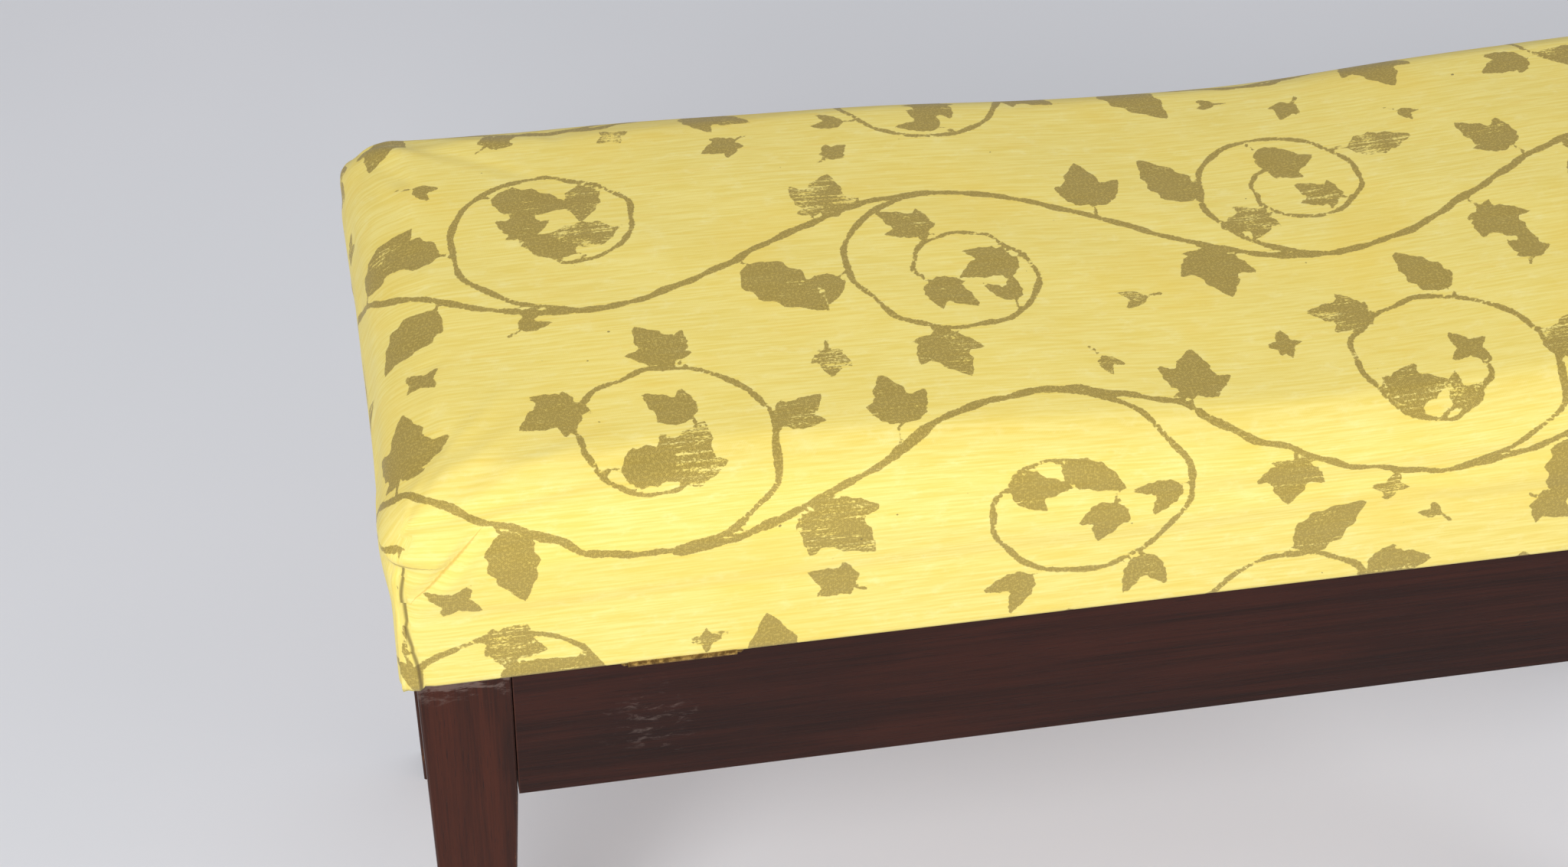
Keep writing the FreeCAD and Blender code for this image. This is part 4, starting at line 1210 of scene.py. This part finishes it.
def lining_sheet(name):
    sheet = bmesh.new()
    columns = round(lining_size.x / LINING_STEP)
    rows = round(lining_size.y / LINING_STEP)
    middle = (lining_low + lining_high) / 2
    bmesh.ops.create_grid(sheet, x_segments=columns, y_segments=rows, size=0.5)
    bmesh.ops.scale(sheet, vec=(lining_size.x, lining_size.y, 1.0), verts=sheet.verts)
    bmesh.ops.translate(sheet, vec=(middle.x, middle.y, lining_low.z), verts=sheet.verts)
    for vert in sheet.verts:
        vert.co.z += lining_pucker(vert.co.x, vert.co.y)
    for face in sheet.faces:
        face.smooth = True
    mesh = bpy.data.meshes.new(name)
    sheet.to_mesh(mesh)
    sheet.free()
    piece = bpy.data.objects.new(name, mesh)
    scene.collection.objects.link(piece)
    return piece


lining = lining_sheet("underside_lining")
thickness = lining.modifiers.new("thickness", "SOLIDIFY")
thickness.thickness = LINING_THICK
thickness.offset = 1.0
lining.data.materials.append(lining_cloth)
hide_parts("lid_lining")
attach(lining, "lid")
print("lining", [round(v, 3) for v in lining_size])

# %% [markdown]
# The photograph's viewpoint was worked out from the straight edges of leg and apron: a long lens, looking
# down by forty degrees and a little to the right, and rolled by one degree. The camera's three directions
# are worked out from those angles and set as one matrix.

# %% Camera
CAMERA_PLACE = Vector((-0.4552, -1.2881, 1.5093))
CAMERA_YAW = 0.196
CAMERA_PITCH = 0.7003
CAMERA_ROLL = -0.0184
FOCAL_PIXELS = 3822.9
PHOTO_WIDTH = 2048
SENSOR_WIDTH = 36.0
right = Vector((math.cos(CAMERA_YAW), -math.sin(CAMERA_YAW), 0.0))
level = math.cos(CAMERA_PITCH)
forward = Vector((math.sin(CAMERA_YAW) * level, math.cos(CAMERA_YAW) * level, -math.sin(CAMERA_PITCH)))
down = forward.cross(right)
roll_cos = math.cos(CAMERA_ROLL)
roll_sin = math.sin(CAMERA_ROLL)
rolled_right = roll_cos * right + roll_sin * down
rolled_down = roll_cos * down - roll_sin * right
camera_data = bpy.data.cameras.new("photo_view")
camera_data.sensor_width = SENSOR_WIDTH
camera_data.lens = SENSOR_WIDTH * FOCAL_PIXELS / PHOTO_WIDTH
camera = bpy.data.objects.new("photo_view", camera_data)
scene.collection.objects.link(camera)
turned_view = Matrix((rolled_right, -rolled_down, -forward)).transposed().to_4x4()
camera.matrix_world = Matrix.Translation(CAMERA_PLACE) @ turned_view
scene.camera = camera
print("lens", round(camera_data.lens, 2), "mm")

# %% [markdown]
# The stage is a plain pale floor, much wider than the stool.

# %% Floor
FLOOR_HALF = 14.0


def pale_floor():
    material, tree, shader, object_space = new_finish("pale_floor")
    mottle = step_between(tree, noise(tree, object_space, 2.0, 2.0, 0.4), 0.3, 0.8)
    colour = blend_colours(tree, mottle, paint(238, 240, 244), paint(242, 243, 247))
    feed(tree, shader.inputs["Base Color"], colour)
    feed(tree, shader.inputs["Roughness"], plus_share(tree, 0.7, mottle, 0.1))
    return material


floor_sheet = bmesh.new()
bmesh.ops.create_grid(floor_sheet, x_segments=2, y_segments=2, size=FLOOR_HALF)
floor_mesh = bpy.data.meshes.new("floor")
floor_sheet.to_mesh(floor_mesh)
floor_sheet.free()
floor_mesh.materials.append(pale_floor())
floor = bpy.data.objects.new("floor", floor_mesh)
scene.collection.objects.link(floor)
print("floor", len(floor_mesh.polygons), "faces")

# %% [markdown]
# Soft studio light comes from a large lamp over the camera's left shoulder, a weaker one from the right,
# and an even pale sky that lifts the shadows. Together they stay at a level at which colours render about as
# they are written.

# %% Lamps and sky
LAMP_AIM = Vector((-0.2, 0.0, 0.45))
SKY_STRENGTH = 0.50


def soft_lamp(name, place, size, power):
    lamp = bpy.data.lights.new(name, "AREA")
    lamp.shape = "DISK"
    lamp.size = size
    lamp.energy = power
    holder = bpy.data.objects.new(name, lamp)
    holder.location = place
    holder.rotation_euler = (LAMP_AIM - Vector(place)).to_track_quat("-Z", "Y").to_euler()
    scene.collection.objects.link(holder)


soft_lamp("key", (-1.2, -2.2, 2.2), 1.4, 63.0)
soft_lamp("side", (2.6, -1.2, 2.2), 2.0, 24.0)
world = bpy.data.worlds.new("studio")
scene.world = world
world.use_nodes = True
sky = world.node_tree.nodes["Background"]
sky.inputs["Color"].default_value = paint(232, 232, 236)
sky.inputs["Strength"].default_value = SKY_STRENGTH
scene.view_settings.view_transform = "Standard"
